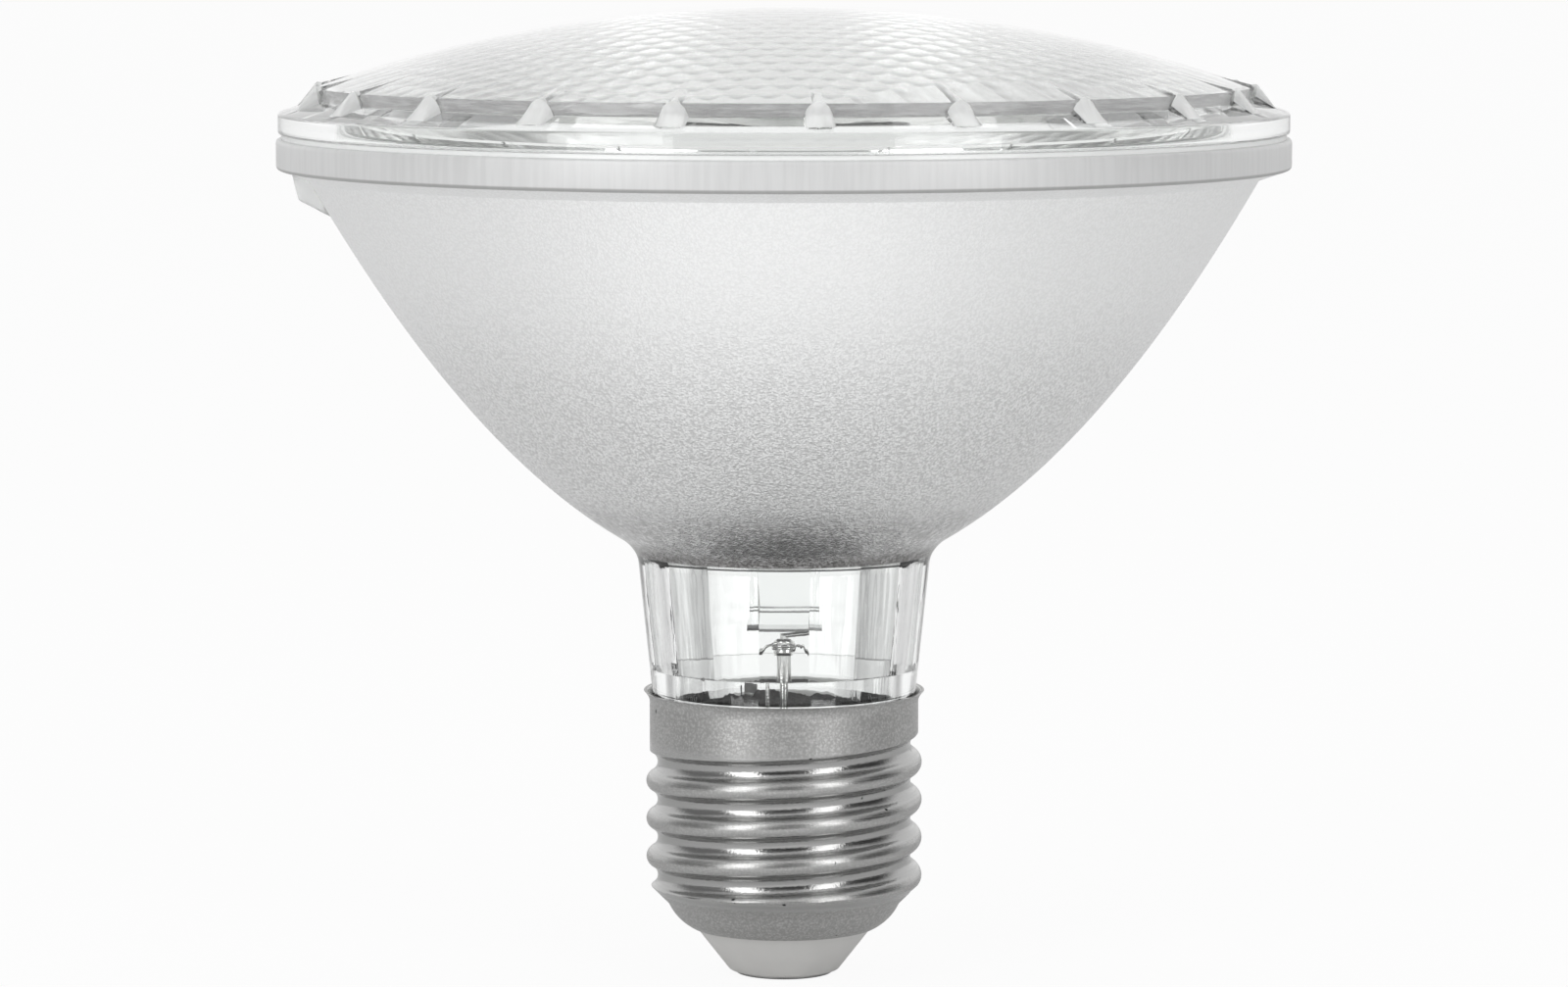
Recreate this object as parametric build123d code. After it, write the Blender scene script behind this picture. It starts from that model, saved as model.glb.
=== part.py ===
from build123d import *
import math
import os

# A pressed-glass reflector lamp with a screw cap. Millimetres, +Z from the cap to the lens.
# The origin is the middle of the centre contact's outer face.

# Centre contact and insulator
CONTACT_DIAMETER = 9.4
CONTACT_THICKNESS = 0.5
CONTACT_PROUD = 0.3
CONTACT_EDGE = 0.15
TIP_DIAMETER = 11.0
TIP_ROUND = 0.6
INSULATOR_HEIGHT = 4.2
INSULATOR_WAIST_INSET = 0.5
SOLDER_DIAMETER = 3.0
SOLDER_DEPTH = 0.25
WIRE_HOLE_CLEARANCE = 0.15

# Screw shell, a rolled sheet
THREAD_DIAMETER = 26.2
THREAD_DEPTH = 1.08
THREAD_PITCH = 25.4 / 7
THREAD_LENGTH = 13.7
THREAD_RUN_OUT = 1.0
THREAD_START_ANGLE = -5.0
SHEET = 0.3
CUP_INSET = 0.57
CUP_CORNER = 4.8
CUP_EDGE_DIAMETER = 17.8
CUP_TOP_ANGLE = 24.0
SKIRT_INSET = 0.34
SKIRT_HEIGHT = 3.8
LIP_HEIGHT = 1.1
LIP_FLARE = 0.55

# Neck
NECK_INSET = 0.2
NECK_TAPER = 6.0
NECK_LENGTH = 14.1
NECK_WALL = 1.75
SPIGOT_GAP = 0.75
SPIGOT_STANDOFF = 0.7
SPIGOT_SHOULDER = 0.9
BORE_FACETS = 16
BORE_STEP = 0.75
BORE_STEP_HEIGHT = 2.2
CEMENT_DEPTH = 0.75

# Bowl and rim
FOCAL_LENGTH = 12.13
BOWL_WALL = 2.4
THROAT_DROP = 1.8
THROAT_REACH = 1.6
SEAT_LEDGE = 0.5
SEAT_DEPTH = 1.75
RIM_DIAMETER = 95.25
RIM_LAND = 3.6
RIM_HEIGHT = 2.9
RIM_DROP = 0.6
RIM_ROUND = 0.45
BOWL_CURVE_POINTS = 7
KEY_HEIGHT = 3.0
KEY_SETBACK = 1.3
KEY_WIDTH = 4.0
KEY_SLOPE = 12.0
KEY_ROUND = 0.9

# Front lens
SEAL_THICKNESS = 0.4
SEAL_SETBACK = 0.3
LENS_SETBACK = 0.2
LENS_THICKNESS = 2.6
LENS_EDGE = 1.9
LENS_FLANGE = 5.4
DOME_RADIUS = 135.0
DOME_SETBACK = 3.65
DOME_STEP = 1.2
RING_SLOPE = 19.0
RING_ROUND = 0.5
LUG_COUNT = 22
LUG_FIRST_ANGLE = -86.12
LUG_WIDTH = 2.2
LUG_REACH = 2.3
LUG_TOP = 0.6
LUG_RISE = 0.25
LUG_ROOT = 0.5
LUG_TAPER = 14.0

# Halogen capsule
BULB_DIAMETER = 11.0
BULB_WALL = 1.0
BULB_ABOVE_FOCUS = 6.2
BULB_SHOULDER = 1.6
TIP_OFF_DIAMETER = 2.4
TIP_OFF_END_DIAMETER = 1.2
TIP_OFF_HEIGHT = 1.4
PINCH_WIDTH = 8.0
PINCH_THICKNESS = 3.0
PINCH_DROP = 8.2
PINCH_MARGIN = 0.3
PINCH_BAR_INSET = 0.75
PINCH_BAR_HEIGHT = 2.0
PINCH_BAR_PROUD = 0.5
PINCH_BAR_ROUND = 0.7
FILAMENT_LENGTH = 9.0
FILAMENT_DIAMETER = 1.2
LEAD_DIAMETER = 0.45
LEAD_SPACING = 3.2
LEAD_STANDOFF = 3.0

# Capsule clip
CLIP_CLEARANCE = 0.15
CLIP_SHEET = 0.5
CLIP_TONGUE_WIDTH = 5.0
CLIP_TONGUE_HEIGHT = 1.2
CLIP_TONGUE_SHEET = 0.4

# Wiring in the neck and cap
CRIMP_DIAMETER = 1.5
CRIMP_LENGTH = 1.6
CENTRE_CRIMP_DROP = 0.9
LEAD_STUB = 0.3
SIDE_CRIMP_LIFT = 0.5
FEED_DIAMETER = 0.8
SIDE_FEED_DIAMETER = 0.4
SIDE_FEED_ANGLE = 108.0
WIRE_GAP = 0.12
FUSE_DIAMETER = 2.4
FUSE_LENGTH = 10.0
SIDE_SOLDER_DIAMETER = 1.5

# Radii and heights that follow from the sizes above
crest_r = THREAD_DIAMETER / 2
sway = THREAD_DEPTH / 2
thread_r = crest_r - sway
root_r = crest_r - THREAD_DEPTH
cup_r = root_r - CUP_INSET
skirt_r = crest_r - SKIRT_INSET
skirt_bore_r = skirt_r - SHEET
cup_centre_r = cup_r - CUP_CORNER
edge_angle = math.acos((CUP_EDGE_DIAMETER / 2 - cup_centre_r) / CUP_CORNER)
top_angle = math.radians(CUP_TOP_ANGLE)

edge_z = CONTACT_PROUD + INSULATOR_HEIGHT
cup_z = edge_z + CUP_CORNER * math.sin(edge_angle)
cup_top_r = cup_centre_r + CUP_CORNER * math.cos(top_angle)
cup_top_z = cup_z - CUP_CORNER * math.sin(top_angle)
thread_z = cup_top_z + thread_r - cup_top_r
skirt_z = thread_z + THREAD_LENGTH
skirt_top_z = skirt_z + abs(skirt_r - thread_r) + SKIRT_HEIGHT
lip_z = skirt_top_z + LIP_HEIGHT

neck_r = skirt_r - NECK_INSET
taper = math.tan(math.radians(NECK_TAPER))
neck_z = lip_z + SPIGOT_SHOULDER / 2
spigot_r = skirt_bore_r - SPIGOT_GAP
spigot_z = skirt_z + SPIGOT_STANDOFF
seat_z = lip_z + NECK_LENGTH
step_z = lip_z + BORE_STEP_HEIGHT
bore_bottom_r = neck_r + (step_z - neck_z) * taper - NECK_WALL
bore_top_r = neck_r + (seat_z - neck_z) * taper - NECK_WALL
round_bore_r = bore_bottom_r - BORE_STEP

seat_r = bore_top_r + SEAT_LEDGE
bowl_z = seat_z + SEAT_DEPTH
vertex_z = bowl_z - seat_r**2 / (4 * FOCAL_LENGTH)
focus_z = vertex_z + FOCAL_LENGTH
rim_r = RIM_DIAMETER / 2
land_r = rim_r - RIM_LAND
land_z = vertex_z + land_r**2 / (4 * FOCAL_LENGTH)

lens_r = rim_r - LENS_SETBACK
lens_z = land_z + SEAL_THICKNESS
dome_r = lens_r - DOME_SETBACK
ring_slope = math.tan(math.radians(RING_SLOPE))
ring_z = lens_z + LENS_EDGE + DOME_SETBACK * ring_slope
dome_edge_z = ring_z + DOME_STEP
dome_centre_z = dome_edge_z - math.sqrt(DOME_RADIUS**2 - dome_r**2)

bulb_r = BULB_DIAMETER / 2
pinch_top_z = seat_z + CLIP_SHEET + CLIP_TONGUE_HEIGHT + PINCH_MARGIN
bulb_bottom_z = pinch_top_z + BULB_SHOULDER
bulb_top_z = focus_z + BULB_ABOVE_FOCUS
pinch_z = seat_z - PINCH_DROP
lead_x = LEAD_SPACING / 2
crimp_top_z = pinch_z - CENTRE_CRIMP_DROP
crimp_z = crimp_top_z - CRIMP_LENGTH
side_crimp_z = spigot_z + SIDE_CRIMP_LIFT
crown_z = cup_z - (CUP_CORNER - SHEET) * math.sin(top_angle)

STANDING = (Align.CENTER, Align.CENTER, Align.MIN)


def at(radius, z):
    """A point of a turned outline."""
    return (radius, 0, z)


def turned(*edges):
    """A solid of revolution about the lamp's axis from a closed outline."""
    return revolve(make_face(list(edges)), Axis.Z)


def upright(radius, bottom, top):
    """A cylinder on the lamp's axis."""
    return Pos(0, 0, bottom) * Cylinder(radius, top - bottom, align=STANDING)


def wire(diameter, *points):
    """A round wire along straight runs, bent at their corners."""
    path = Polyline(*points)
    start = Plane(path @ 0, z_dir=path % 0)
    return sweep(start * Circle(diameter / 2), path=path, transition=Transition.RIGHT)


def on_cup(angle, inset=0.0):
    """A point on the cap's rounded cup, at an angle below level, inset from its outer face."""
    reach = CUP_CORNER - inset
    return at(cup_centre_r + reach * math.cos(angle), cup_z - reach * math.sin(angle))


def on_bowl(radius, depth=0.0):
    """A point of the paraboloid at a mirror radius, a depth into the glass behind it."""
    slant = math.hypot(2 * FOCAL_LENGTH, radius)
    z = vertex_z + radius**2 / (4 * FOCAL_LENGTH)
    return at(radius + depth * radius / slant, z - depth * 2 * FOCAL_LENGTH / slant)


def bowl_curve(start_r, depth):
    """The paraboloid's outline from a mirror radius to the land, a depth into the glass."""
    step = (land_r - start_r) / (BOWL_CURVE_POINTS - 1)
    radii = [start_r + step * i for i in range(BOWL_CURVE_POINTS)]
    ends = [(2 * FOCAL_LENGTH, 0, start_r), (2 * FOCAL_LENGTH, 0, land_r)]
    return Spline(*[on_bowl(radius, depth) for radius in radii], tangents=ends)


def cup_body(inset):
    """The closed form of the cap's cup, inset by the sheet for its inside."""
    low, high = on_cup(edge_angle, inset), on_cup(top_angle, inset)
    middle = on_cup((edge_angle + top_angle) / 2, inset)
    shoulder = at(thread_r if inset == 0 else root_r - inset, thread_z)
    return turned(
        Line(at(0, low[2]), low),
        ThreePointArc(low, middle, high),
        Line(high, shoulder),
        Line(shoulder, at(0, thread_z)),
        Line(at(0, thread_z), at(0, low[2])),
    )


def thread_body():
    """The closed form of the knuckle thread: a circle that sways round the axis once a pitch."""
    turn_height = THREAD_LENGTH - 2 * THREAD_RUN_OUT
    low_z, high_z = thread_z + THREAD_RUN_OUT, skirt_z - THREAD_RUN_OUT
    turn = 360 * turn_height / THREAD_PITCH
    start = Rot(0, 0, THREAD_START_ANGLE) * Pos(sway, 0) * Circle(thread_r)
    twisted = Solid.extrude_linear_with_rotation(start.face(), (0, 0, 0), (0, 0, turn_height), turn)
    low = Pos(0, 0, low_z) * start
    high = Pos(0, 0, high_z) * Rot(0, 0, turn) * start
    run_in = loft([Pos(0, 0, thread_z) * Circle(thread_r), low], ruled=True)
    run_out = loft([high, Pos(0, 0, skirt_z) * Circle(thread_r)], ruled=True)
    return run_in + Pos(0, 0, low_z) * twisted + run_out


def skirt_body(inset):
    """The closed form of the plain skirt and its flared lip."""
    foot, wall = thread_r - inset, skirt_r - inset
    wall_z = skirt_top_z - SKIRT_HEIGHT
    top = at(wall + LIP_FLARE, lip_z)
    return turned(
        Line(at(0, skirt_z), at(foot, skirt_z)),
        Line(at(foot, skirt_z), at(wall, wall_z)),
        Line(at(wall, wall_z), at(wall, skirt_top_z)),
        TangentArc(at(wall, skirt_top_z), top, tangent=(0, 0, 1)),
        Line(top, at(0, lip_z)),
        Line(at(0, lip_z), at(0, skirt_z)),
    )


def make_screw_shell():
    """The rolled cap with its thread, cup and flared lip."""
    outside = cup_body(0) + thread_body() + skirt_body(0)
    bore = upright(root_r - SHEET, thread_z, skirt_z)
    inside = cup_body(SHEET) + bore + skirt_body(SHEET)
    mouth = upright(CUP_EDGE_DIAMETER / 2 - INSULATOR_WAIST_INSET, 0, cup_z)
    return outside - inside - mouth


def make_cap_insulator():
    """The moulded insulator: a cone below the shell's edge and a crown keyed inside its cup."""
    waist_r = CUP_EDGE_DIAMETER / 2 - INSULATOR_WAIST_INSET
    crown_low = on_cup(edge_angle, SHEET)
    outline = FilletPolyline(
        at(0, crown_z),
        at(0, CONTACT_PROUD),
        at(TIP_DIAMETER / 2, CONTACT_PROUD),
        at(waist_r + INSULATOR_WAIST_INSET / 2, edge_z),
        at(waist_r, edge_z),
        at(waist_r, crown_low[2]),
        crown_low,
        on_cup(top_angle, SHEET),
        radius=[0, TIP_ROUND, 0, 0, 0, 0],
    )
    body = turned(outline, Line(on_cup(top_angle, SHEET), at(0, crown_z)))
    pocket = upright(CONTACT_DIAMETER / 2, 0, CONTACT_THICKNESS)
    hole = upright(FEED_DIAMETER / 2 + WIRE_HOLE_CLEARANCE, 0, crown_z)
    return body - pocket - hole


def make_centre_contact():
    """The contact plate, with a dimple for its solder and a hole for the feed wire."""
    plate = upright(CONTACT_DIAMETER / 2, 0, CONTACT_THICKNESS)
    plate = chamfer(plate.faces().sort_by(Axis.Z)[0].edges(), CONTACT_EDGE)
    dimple = upright(SOLDER_DIAMETER / 2, 0, SOLDER_DEPTH)
    return plate - dimple - upright(FEED_DIAMETER / 2, 0, CONTACT_THICKNESS)


def make_contact_solder():
    """The solder that fills the contact's dimple round the feed wire."""
    return upright(SOLDER_DIAMETER / 2, 0, SOLDER_DEPTH) - upright(FEED_DIAMETER / 2, 0, SOLDER_DEPTH)


def neck_and_bowl():
    """The glass body without its rim or bore: spigot, tapered neck, flared throat and bowl wall."""
    blend_z = seat_z - THROAT_DROP
    blend = at(neck_r + (blend_z - neck_z) * taper, blend_z)
    flare_r = seat_r + THROAT_REACH
    flare = on_bowl(flare_r, BOWL_WALL)
    return turned(
        Polyline(
            at(0, bowl_z),
            at(0, spigot_z),
            at(spigot_r, spigot_z),
            at(spigot_r, neck_z - SPIGOT_SHOULDER),
            at(neck_r, neck_z),
            blend,
        ),
        Spline(blend, flare, tangents=[(taper, 0, 1), (2 * FOCAL_LENGTH, 0, flare_r)]),
        bowl_curve(flare_r, BOWL_WALL),
        Line(on_bowl(land_r, BOWL_WALL), on_bowl(land_r)),
        bowl_curve(seat_r, 0),
        Line(on_bowl(seat_r), at(0, bowl_z)),
    )


def rim_ring():
    """The thick rim round the bowl's mouth, its underside falling to the wall."""
    low_z = land_z - RIM_HEIGHT
    root = on_bowl(math.sqrt(4 * FOCAL_LENGTH * (low_z - vertex_z)), BOWL_WALL / 2)
    root = at(root[0], root[2] - RIM_DROP)
    outline = FilletPolyline(
        at(land_r, land_z), at(rim_r, land_z), at(rim_r, low_z), root, radius=[RIM_ROUND, RIM_ROUND]
    )
    return turned(outline, Line(root, at(land_r, land_z)))


def key_tab():
    """The index gusset under the rim, on the left."""
    top_z = land_z - RIM_HEIGHT + RIM_ROUND
    low_z = top_z - RIM_ROUND - KEY_HEIGHT
    outer_r = rim_r - KEY_SETBACK
    inner_r = on_bowl(math.sqrt(4 * FOCAL_LENGTH * (low_z - vertex_z)), BOWL_WALL / 2)[0]
    fall = (outer_r - inner_r) * math.tan(math.radians(KEY_SLOPE))
    outline = FilletPolyline(
        at(-inner_r, top_z),
        at(-outer_r, top_z),
        at(-outer_r, low_z),
        at(-inner_r, low_z - fall),
        radius=[0, KEY_ROUND],
    )
    face = make_face([outline, Line(at(-inner_r, low_z - fall), at(-inner_r, top_z))])
    return extrude(face, KEY_WIDTH / 2, both=True)


def bore_body():
    """The hollow of the neck: a faceted taper down to a step, then a round bore."""
    low = Pos(0, 0, step_z) * RegularPolygon(bore_bottom_r, BORE_FACETS, rotation=180 / BORE_FACETS)
    high = Pos(0, 0, seat_z) * RegularPolygon(bore_top_r, BORE_FACETS, rotation=180 / BORE_FACETS)
    faceted = loft([low, high], ruled=True)
    return faceted + upright(round_bore_r, spigot_z, step_z) + upright(seat_r, seat_z, bowl_z)


def make_reflector():
    """The pressed-glass body: spigot, neck, bowl, rim and index key in one piece."""
    return neck_and_bowl() + rim_ring() + key_tab() - bore_body()


def make_basing_cement(side_wire):
    """The ring of cement between the spigot and the cap's skirt."""
    top = lip_z - CEMENT_DEPTH
    ring = upright(skirt_bore_r, spigot_z, top) - upright(spigot_r, spigot_z, top)
    return ring - side_wire


def make_lens_seal():
    """The bead of clear adhesive between the two glass rims."""
    outer_r = lens_r - SEAL_SETBACK
    return upright(outer_r, land_z, lens_z) - upright(land_r, land_z, lens_z)


def on_dome(radius, inset=0.0):
    """A point of the lens's dome, or of its inner face a thickness below."""
    sphere_r = DOME_RADIUS - inset
    return at(radius, dome_centre_z + math.sqrt(sphere_r**2 - radius**2))


def dome_arc(edge_r, inset=0.0):
    """The dome's outline from its edge to the axis."""
    return ThreePointArc(on_dome(edge_r, inset), on_dome(edge_r / 2, inset), on_dome(0, inset))


def lens_body():
    """The domed disc with its flange, before the lugs."""
    bore_r = lens_r - LENS_FLANGE
    edge = FilletPolyline(
        at(dome_r, dome_edge_z),
        at(dome_r, ring_z),
        at(lens_r, lens_z + LENS_EDGE),
        at(lens_r, lens_z),
        at(bore_r, lens_z),
        on_dome(bore_r, LENS_THICKNESS),
        radius=[0, RING_ROUND, RING_ROUND / 2, 0],
    )
    inner_apex = on_dome(0, LENS_THICKNESS)
    return turned(dome_arc(dome_r), edge, dome_arc(bore_r, LENS_THICKNESS), Line(inner_apex, on_dome(0)))


def lens_lug():
    """One wedge that buttresses the dome's edge on the ring."""
    foot_r = dome_r + LUG_REACH
    inner_r = dome_r - LUG_TOP
    top_z = dome_edge_z + LUG_RISE
    foot_z = ring_z - LUG_REACH * ring_slope
    outline = Polyline(
        at(inner_r, foot_z - LUG_ROOT),
        at(inner_r, top_z),
        at(dome_r + LUG_TOP, top_z),
        at(foot_r, foot_z),
        at(foot_r, foot_z - LUG_ROOT),
        close=True,
    )
    return extrude(make_face(outline), LUG_WIDTH / 2, both=True, taper=LUG_TAPER)


def make_front_lens():
    """The pressed front lens with its ring of lugs."""
    lug = lens_lug()
    lugs = [Rot(0, 0, LUG_FIRST_ANGLE + 360 * i / LUG_COUNT) * lug for i in range(LUG_COUNT)]
    return lens_body() + lugs


def capsule_cavity():
    """The gas space of the capsule."""
    radius = bulb_r - BULB_WALL
    return upright(radius, bulb_bottom_z, bulb_top_z) + Pos(0, 0, bulb_top_z) * Sphere(radius)


def make_capsule_envelope(leads):
    """The hard-glass capsule: tube, tip-off, shoulder and flat pinch, sealed on its leads."""
    pinch = Pos(0, 0, pinch_z) * Box(PINCH_WIDTH, PINCH_THICKNESS, pinch_top_z - pinch_z, align=STANDING)
    bar = Pos(0, 0, pinch_z + PINCH_BAR_HEIGHT / 2) * Box(
        PINCH_WIDTH - 2 * PINCH_BAR_INSET, PINCH_THICKNESS + 2 * PINCH_BAR_PROUD, PINCH_BAR_HEIGHT
    )
    bar = fillet(bar.edges().filter_by(Axis.Y), PINCH_BAR_ROUND)
    flat = Pos(0, 0, pinch_top_z) * Rectangle(PINCH_WIDTH, PINCH_THICKNESS)
    shoulder = loft([flat, Pos(0, 0, bulb_bottom_z) * Circle(bulb_r)], ruled=True)
    tube = upright(bulb_r, bulb_bottom_z, bulb_top_z) + Pos(0, 0, bulb_top_z) * Sphere(bulb_r)
    tip = Pos(0, 0, bulb_top_z + bulb_r) * Cone(
        TIP_OFF_DIAMETER / 2, TIP_OFF_END_DIAMETER / 2, 2 * TIP_OFF_HEIGHT
    )
    glass = pinch + bar + shoulder + tube + tip - capsule_cavity()
    for lead in leads:
        glass = glass - lead
    return glass


def make_filament():
    """The tightly wound axial coil, as its outer form."""
    half = FILAMENT_LENGTH / 2
    return upright(FILAMENT_DIAMETER / 2, focus_z - half, focus_z + half)


def make_lead_short():
    """The lead from the coil's lower end, through the pinch, to the side crimp."""
    low_z = focus_z - FILAMENT_LENGTH / 2
    hook_r = FILAMENT_DIAMETER / 2 + LEAD_DIAMETER / 2
    return wire(
        LEAD_DIAMETER,
        at(-lead_x, side_crimp_z + CRIMP_LENGTH / 2),
        at(-lead_x, bulb_bottom_z),
        at(-hook_r, low_z),
        at(-hook_r, low_z + FILAMENT_DIAMETER),
    )


def make_lead_long():
    """The lead from the coil's upper end, beside it, through the pinch, to the centre crimp."""
    high_z = focus_z + FILAMENT_LENGTH / 2
    hook_z = high_z + LEAD_DIAMETER / 2
    return wire(
        LEAD_DIAMETER,
        at(0, crimp_top_z - CRIMP_LENGTH / 2),
        at(0, crimp_top_z + LEAD_STUB),
        at(lead_x, pinch_z - LEAD_STUB),
        at(lead_x, bulb_bottom_z),
        at(LEAD_STANDOFF, focus_z - FILAMENT_LENGTH / 2),
        at(LEAD_STANDOFF, hook_z),
        at(0, hook_z),
    )


def make_capsule_clip():
    """The stamped plate on the throat's ledge, with two tongues that grip the pinch."""
    top_z = seat_z + CLIP_SHEET
    plate = upright(seat_r - CLIP_CLEARANCE, seat_z, top_z)
    gap = 2 * CLIP_CLEARANCE
    slot = Pos(0, 0, seat_z) * Box(PINCH_WIDTH + gap, PINCH_THICKNESS + gap, 2 * CLIP_SHEET)
    tongue = Pos(0, (PINCH_THICKNESS + CLIP_TONGUE_SHEET) / 2, seat_z) * Box(
        CLIP_TONGUE_WIDTH,
        CLIP_TONGUE_SHEET,
        CLIP_SHEET + CLIP_TONGUE_HEIGHT,
        align=STANDING,
    )
    return plate - slot + tongue + mirror(tongue, Plane.XZ)


def crimp(x, bottom, top_wire, bottom_wire):
    """A crimp sleeve pressed on two wire ends."""
    sleeve = Pos(x, 0, 0) * upright(CRIMP_DIAMETER / 2, bottom, bottom + CRIMP_LENGTH)
    return sleeve - top_wire - bottom_wire


def make_centre_feed():
    """The stiff wire from the centre crimp down to the contact."""
    return upright(FEED_DIAMETER / 2, 0, crimp_z + CRIMP_LENGTH / 2)


def make_side_feed():
    """The wire from the side crimp, round the spigot's end and up to the shell's lip."""
    angle = math.radians(SIDE_FEED_ANGLE)
    up_r = spigot_r + WIRE_GAP + SIDE_FEED_DIAMETER / 2
    low_z = spigot_z - WIRE_GAP - SIDE_FEED_DIAMETER / 2
    out_x, out_y = up_r * math.cos(angle), up_r * math.sin(angle)
    return wire(
        SIDE_FEED_DIAMETER,
        at(-lead_x, side_crimp_z + CRIMP_LENGTH / 2),
        at(-lead_x, low_z),
        (out_x, out_y, low_z),
        (out_x, out_y, neck_z - SPIGOT_SHOULDER),
    )


def make_fuse_sleeve(centre_feed):
    """The fuse's tube round the centre feed wire, standing on the insulator."""
    return upright(FUSE_DIAMETER / 2, crown_z, crown_z + FUSE_LENGTH) - centre_feed


def make_side_solder(side_feed, shell, reflector):
    """The bead that joins the side feed wire to the shell's lip."""
    angle = math.radians(SIDE_FEED_ANGLE)
    bead_r = (spigot_r + skirt_bore_r) / 2
    bead = Pos(bead_r * math.cos(angle), bead_r * math.sin(angle), lip_z) * Sphere(SIDE_SOLDER_DIAMETER / 2)
    return bead - shell - reflector - side_feed


def make_parts():
    """Every piece by its node's name."""
    shell, reflector = make_screw_shell(), make_reflector()
    lead_short, lead_long = make_lead_short(), make_lead_long()
    centre_feed, side_feed = make_centre_feed(), make_side_feed()
    return {
        "front_lens": make_front_lens(),
        "lens_seal": make_lens_seal(),
        "reflector": reflector,
        "capsule_clip": make_capsule_clip(),
        "capsule_envelope": make_capsule_envelope([lead_short, lead_long]),
        "filament": make_filament(),
        "filament_lead_short": lead_short,
        "filament_lead_long": lead_long,
        "centre_crimp": crimp(0, crimp_z, lead_long, centre_feed),
        "side_crimp": crimp(-lead_x, side_crimp_z, lead_short, side_feed),
        "centre_feed_wire": centre_feed,
        "side_feed_wire": side_feed,
        "fuse_sleeve": make_fuse_sleeve(centre_feed),
        "screw_shell": shell,
        "basing_cement": make_basing_cement(side_feed),
        "cap_insulator": make_cap_insulator(),
        "centre_contact": make_centre_contact(),
        "contact_solder": make_contact_solder(),
        "side_solder": make_side_solder(side_feed, shell, reflector),
    }


os.makedirs("parts", exist_ok=True)
for name, piece in make_parts().items():
    export_step(piece, f"parts/{name}.step")
    size = piece.bounding_box().size
    print(f"{name}: {piece.volume:.1f} mm3, {size.X:.2f} x {size.Y:.2f} x {size.Z:.2f}")
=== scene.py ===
import math
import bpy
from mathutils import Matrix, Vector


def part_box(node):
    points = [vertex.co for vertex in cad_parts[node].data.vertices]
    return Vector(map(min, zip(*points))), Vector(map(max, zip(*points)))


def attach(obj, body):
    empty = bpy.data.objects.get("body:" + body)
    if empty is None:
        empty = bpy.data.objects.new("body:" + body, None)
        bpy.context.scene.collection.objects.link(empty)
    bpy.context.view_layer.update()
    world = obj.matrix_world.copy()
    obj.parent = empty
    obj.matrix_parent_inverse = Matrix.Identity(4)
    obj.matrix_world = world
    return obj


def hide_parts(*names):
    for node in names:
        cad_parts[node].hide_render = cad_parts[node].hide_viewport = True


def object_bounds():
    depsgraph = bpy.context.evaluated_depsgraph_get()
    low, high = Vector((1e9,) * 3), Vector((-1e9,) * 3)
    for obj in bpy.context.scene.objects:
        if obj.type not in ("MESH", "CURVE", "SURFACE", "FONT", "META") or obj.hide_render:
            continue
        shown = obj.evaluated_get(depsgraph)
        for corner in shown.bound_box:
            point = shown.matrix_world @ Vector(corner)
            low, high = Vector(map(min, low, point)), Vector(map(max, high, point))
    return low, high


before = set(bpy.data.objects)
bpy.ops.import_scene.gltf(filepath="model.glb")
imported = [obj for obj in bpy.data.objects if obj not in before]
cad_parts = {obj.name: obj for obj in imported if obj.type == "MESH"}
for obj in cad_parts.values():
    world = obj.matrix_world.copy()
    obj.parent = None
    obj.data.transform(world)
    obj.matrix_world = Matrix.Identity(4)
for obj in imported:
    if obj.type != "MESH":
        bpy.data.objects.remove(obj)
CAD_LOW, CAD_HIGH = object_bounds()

from types import SimpleNamespace

import bpy
import numpy as np
from bpy.props import FloatProperty, FloatVectorProperty, IntProperty, PointerProperty
from bpy.types import Operator, Panel, PropertyGroup
from mathutils import Vector
from mathutils.geometry import delaunay_2d_cdt

bl_info = {
    "name": "Reflector lamp",
    "version": (1, 0, 0),
    "blender": (4, 5, 0),
    "location": "View3D > Sidebar > Lamp",
    "description": "Builds a pressed-glass reflector lamp with a screw cap",
    "category": "Object",
}

MM = 0.001
BODY = "root"
TURN = 2 * math.pi

LENS_LOW, LENS_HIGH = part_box("front_lens")
GLASS_LOW, GLASS_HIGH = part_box("reflector")
SHELL_LOW, SHELL_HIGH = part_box("screw_shell")
INSULATOR_LOW, INSULATOR_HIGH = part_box("cap_insulator")
COIL_LOW, COIL_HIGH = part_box("filament")
CLIP_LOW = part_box("capsule_clip")[0]
CAPSULE_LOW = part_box("capsule_envelope")[0]

# Air between the lens and its seal, so that light reaches the seal
SEAL_GAP = 0.03 * MM
# Rows at the foot of the throat's bend that the coating leaves clear
CLEAR_ROWS = 4
# Rows of the shell's flared lip
LIP_ROWS = 8
# Refractive index of pressed glass
GLASS_INDEX = 1.48


def place(name, description, metres):
    """A length or height that comes from the frame, in metres."""
    return FloatProperty(
        name=name, description=description, default=metres,
        unit="LENGTH", subtype="DISTANCE", precision=5,
    )


def length(name, description, millimetres):
    """A length of the lamp, given in millimetres and kept in metres."""
    return place(name, description, millimetres * MM)


def angle(name, description, degrees):
    """An angle, given in degrees."""
    return FloatProperty(
        name=name, description=description, default=math.radians(degrees),
        unit="ROTATION", subtype="ANGLE",
    )


def colour(name, description, red, green, blue):
    """A surface colour."""
    return FloatVectorProperty(
        name=name, description=description, default=(red, green, blue),
        subtype="COLOR", min=0.0, max=1.0,
    )


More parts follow.
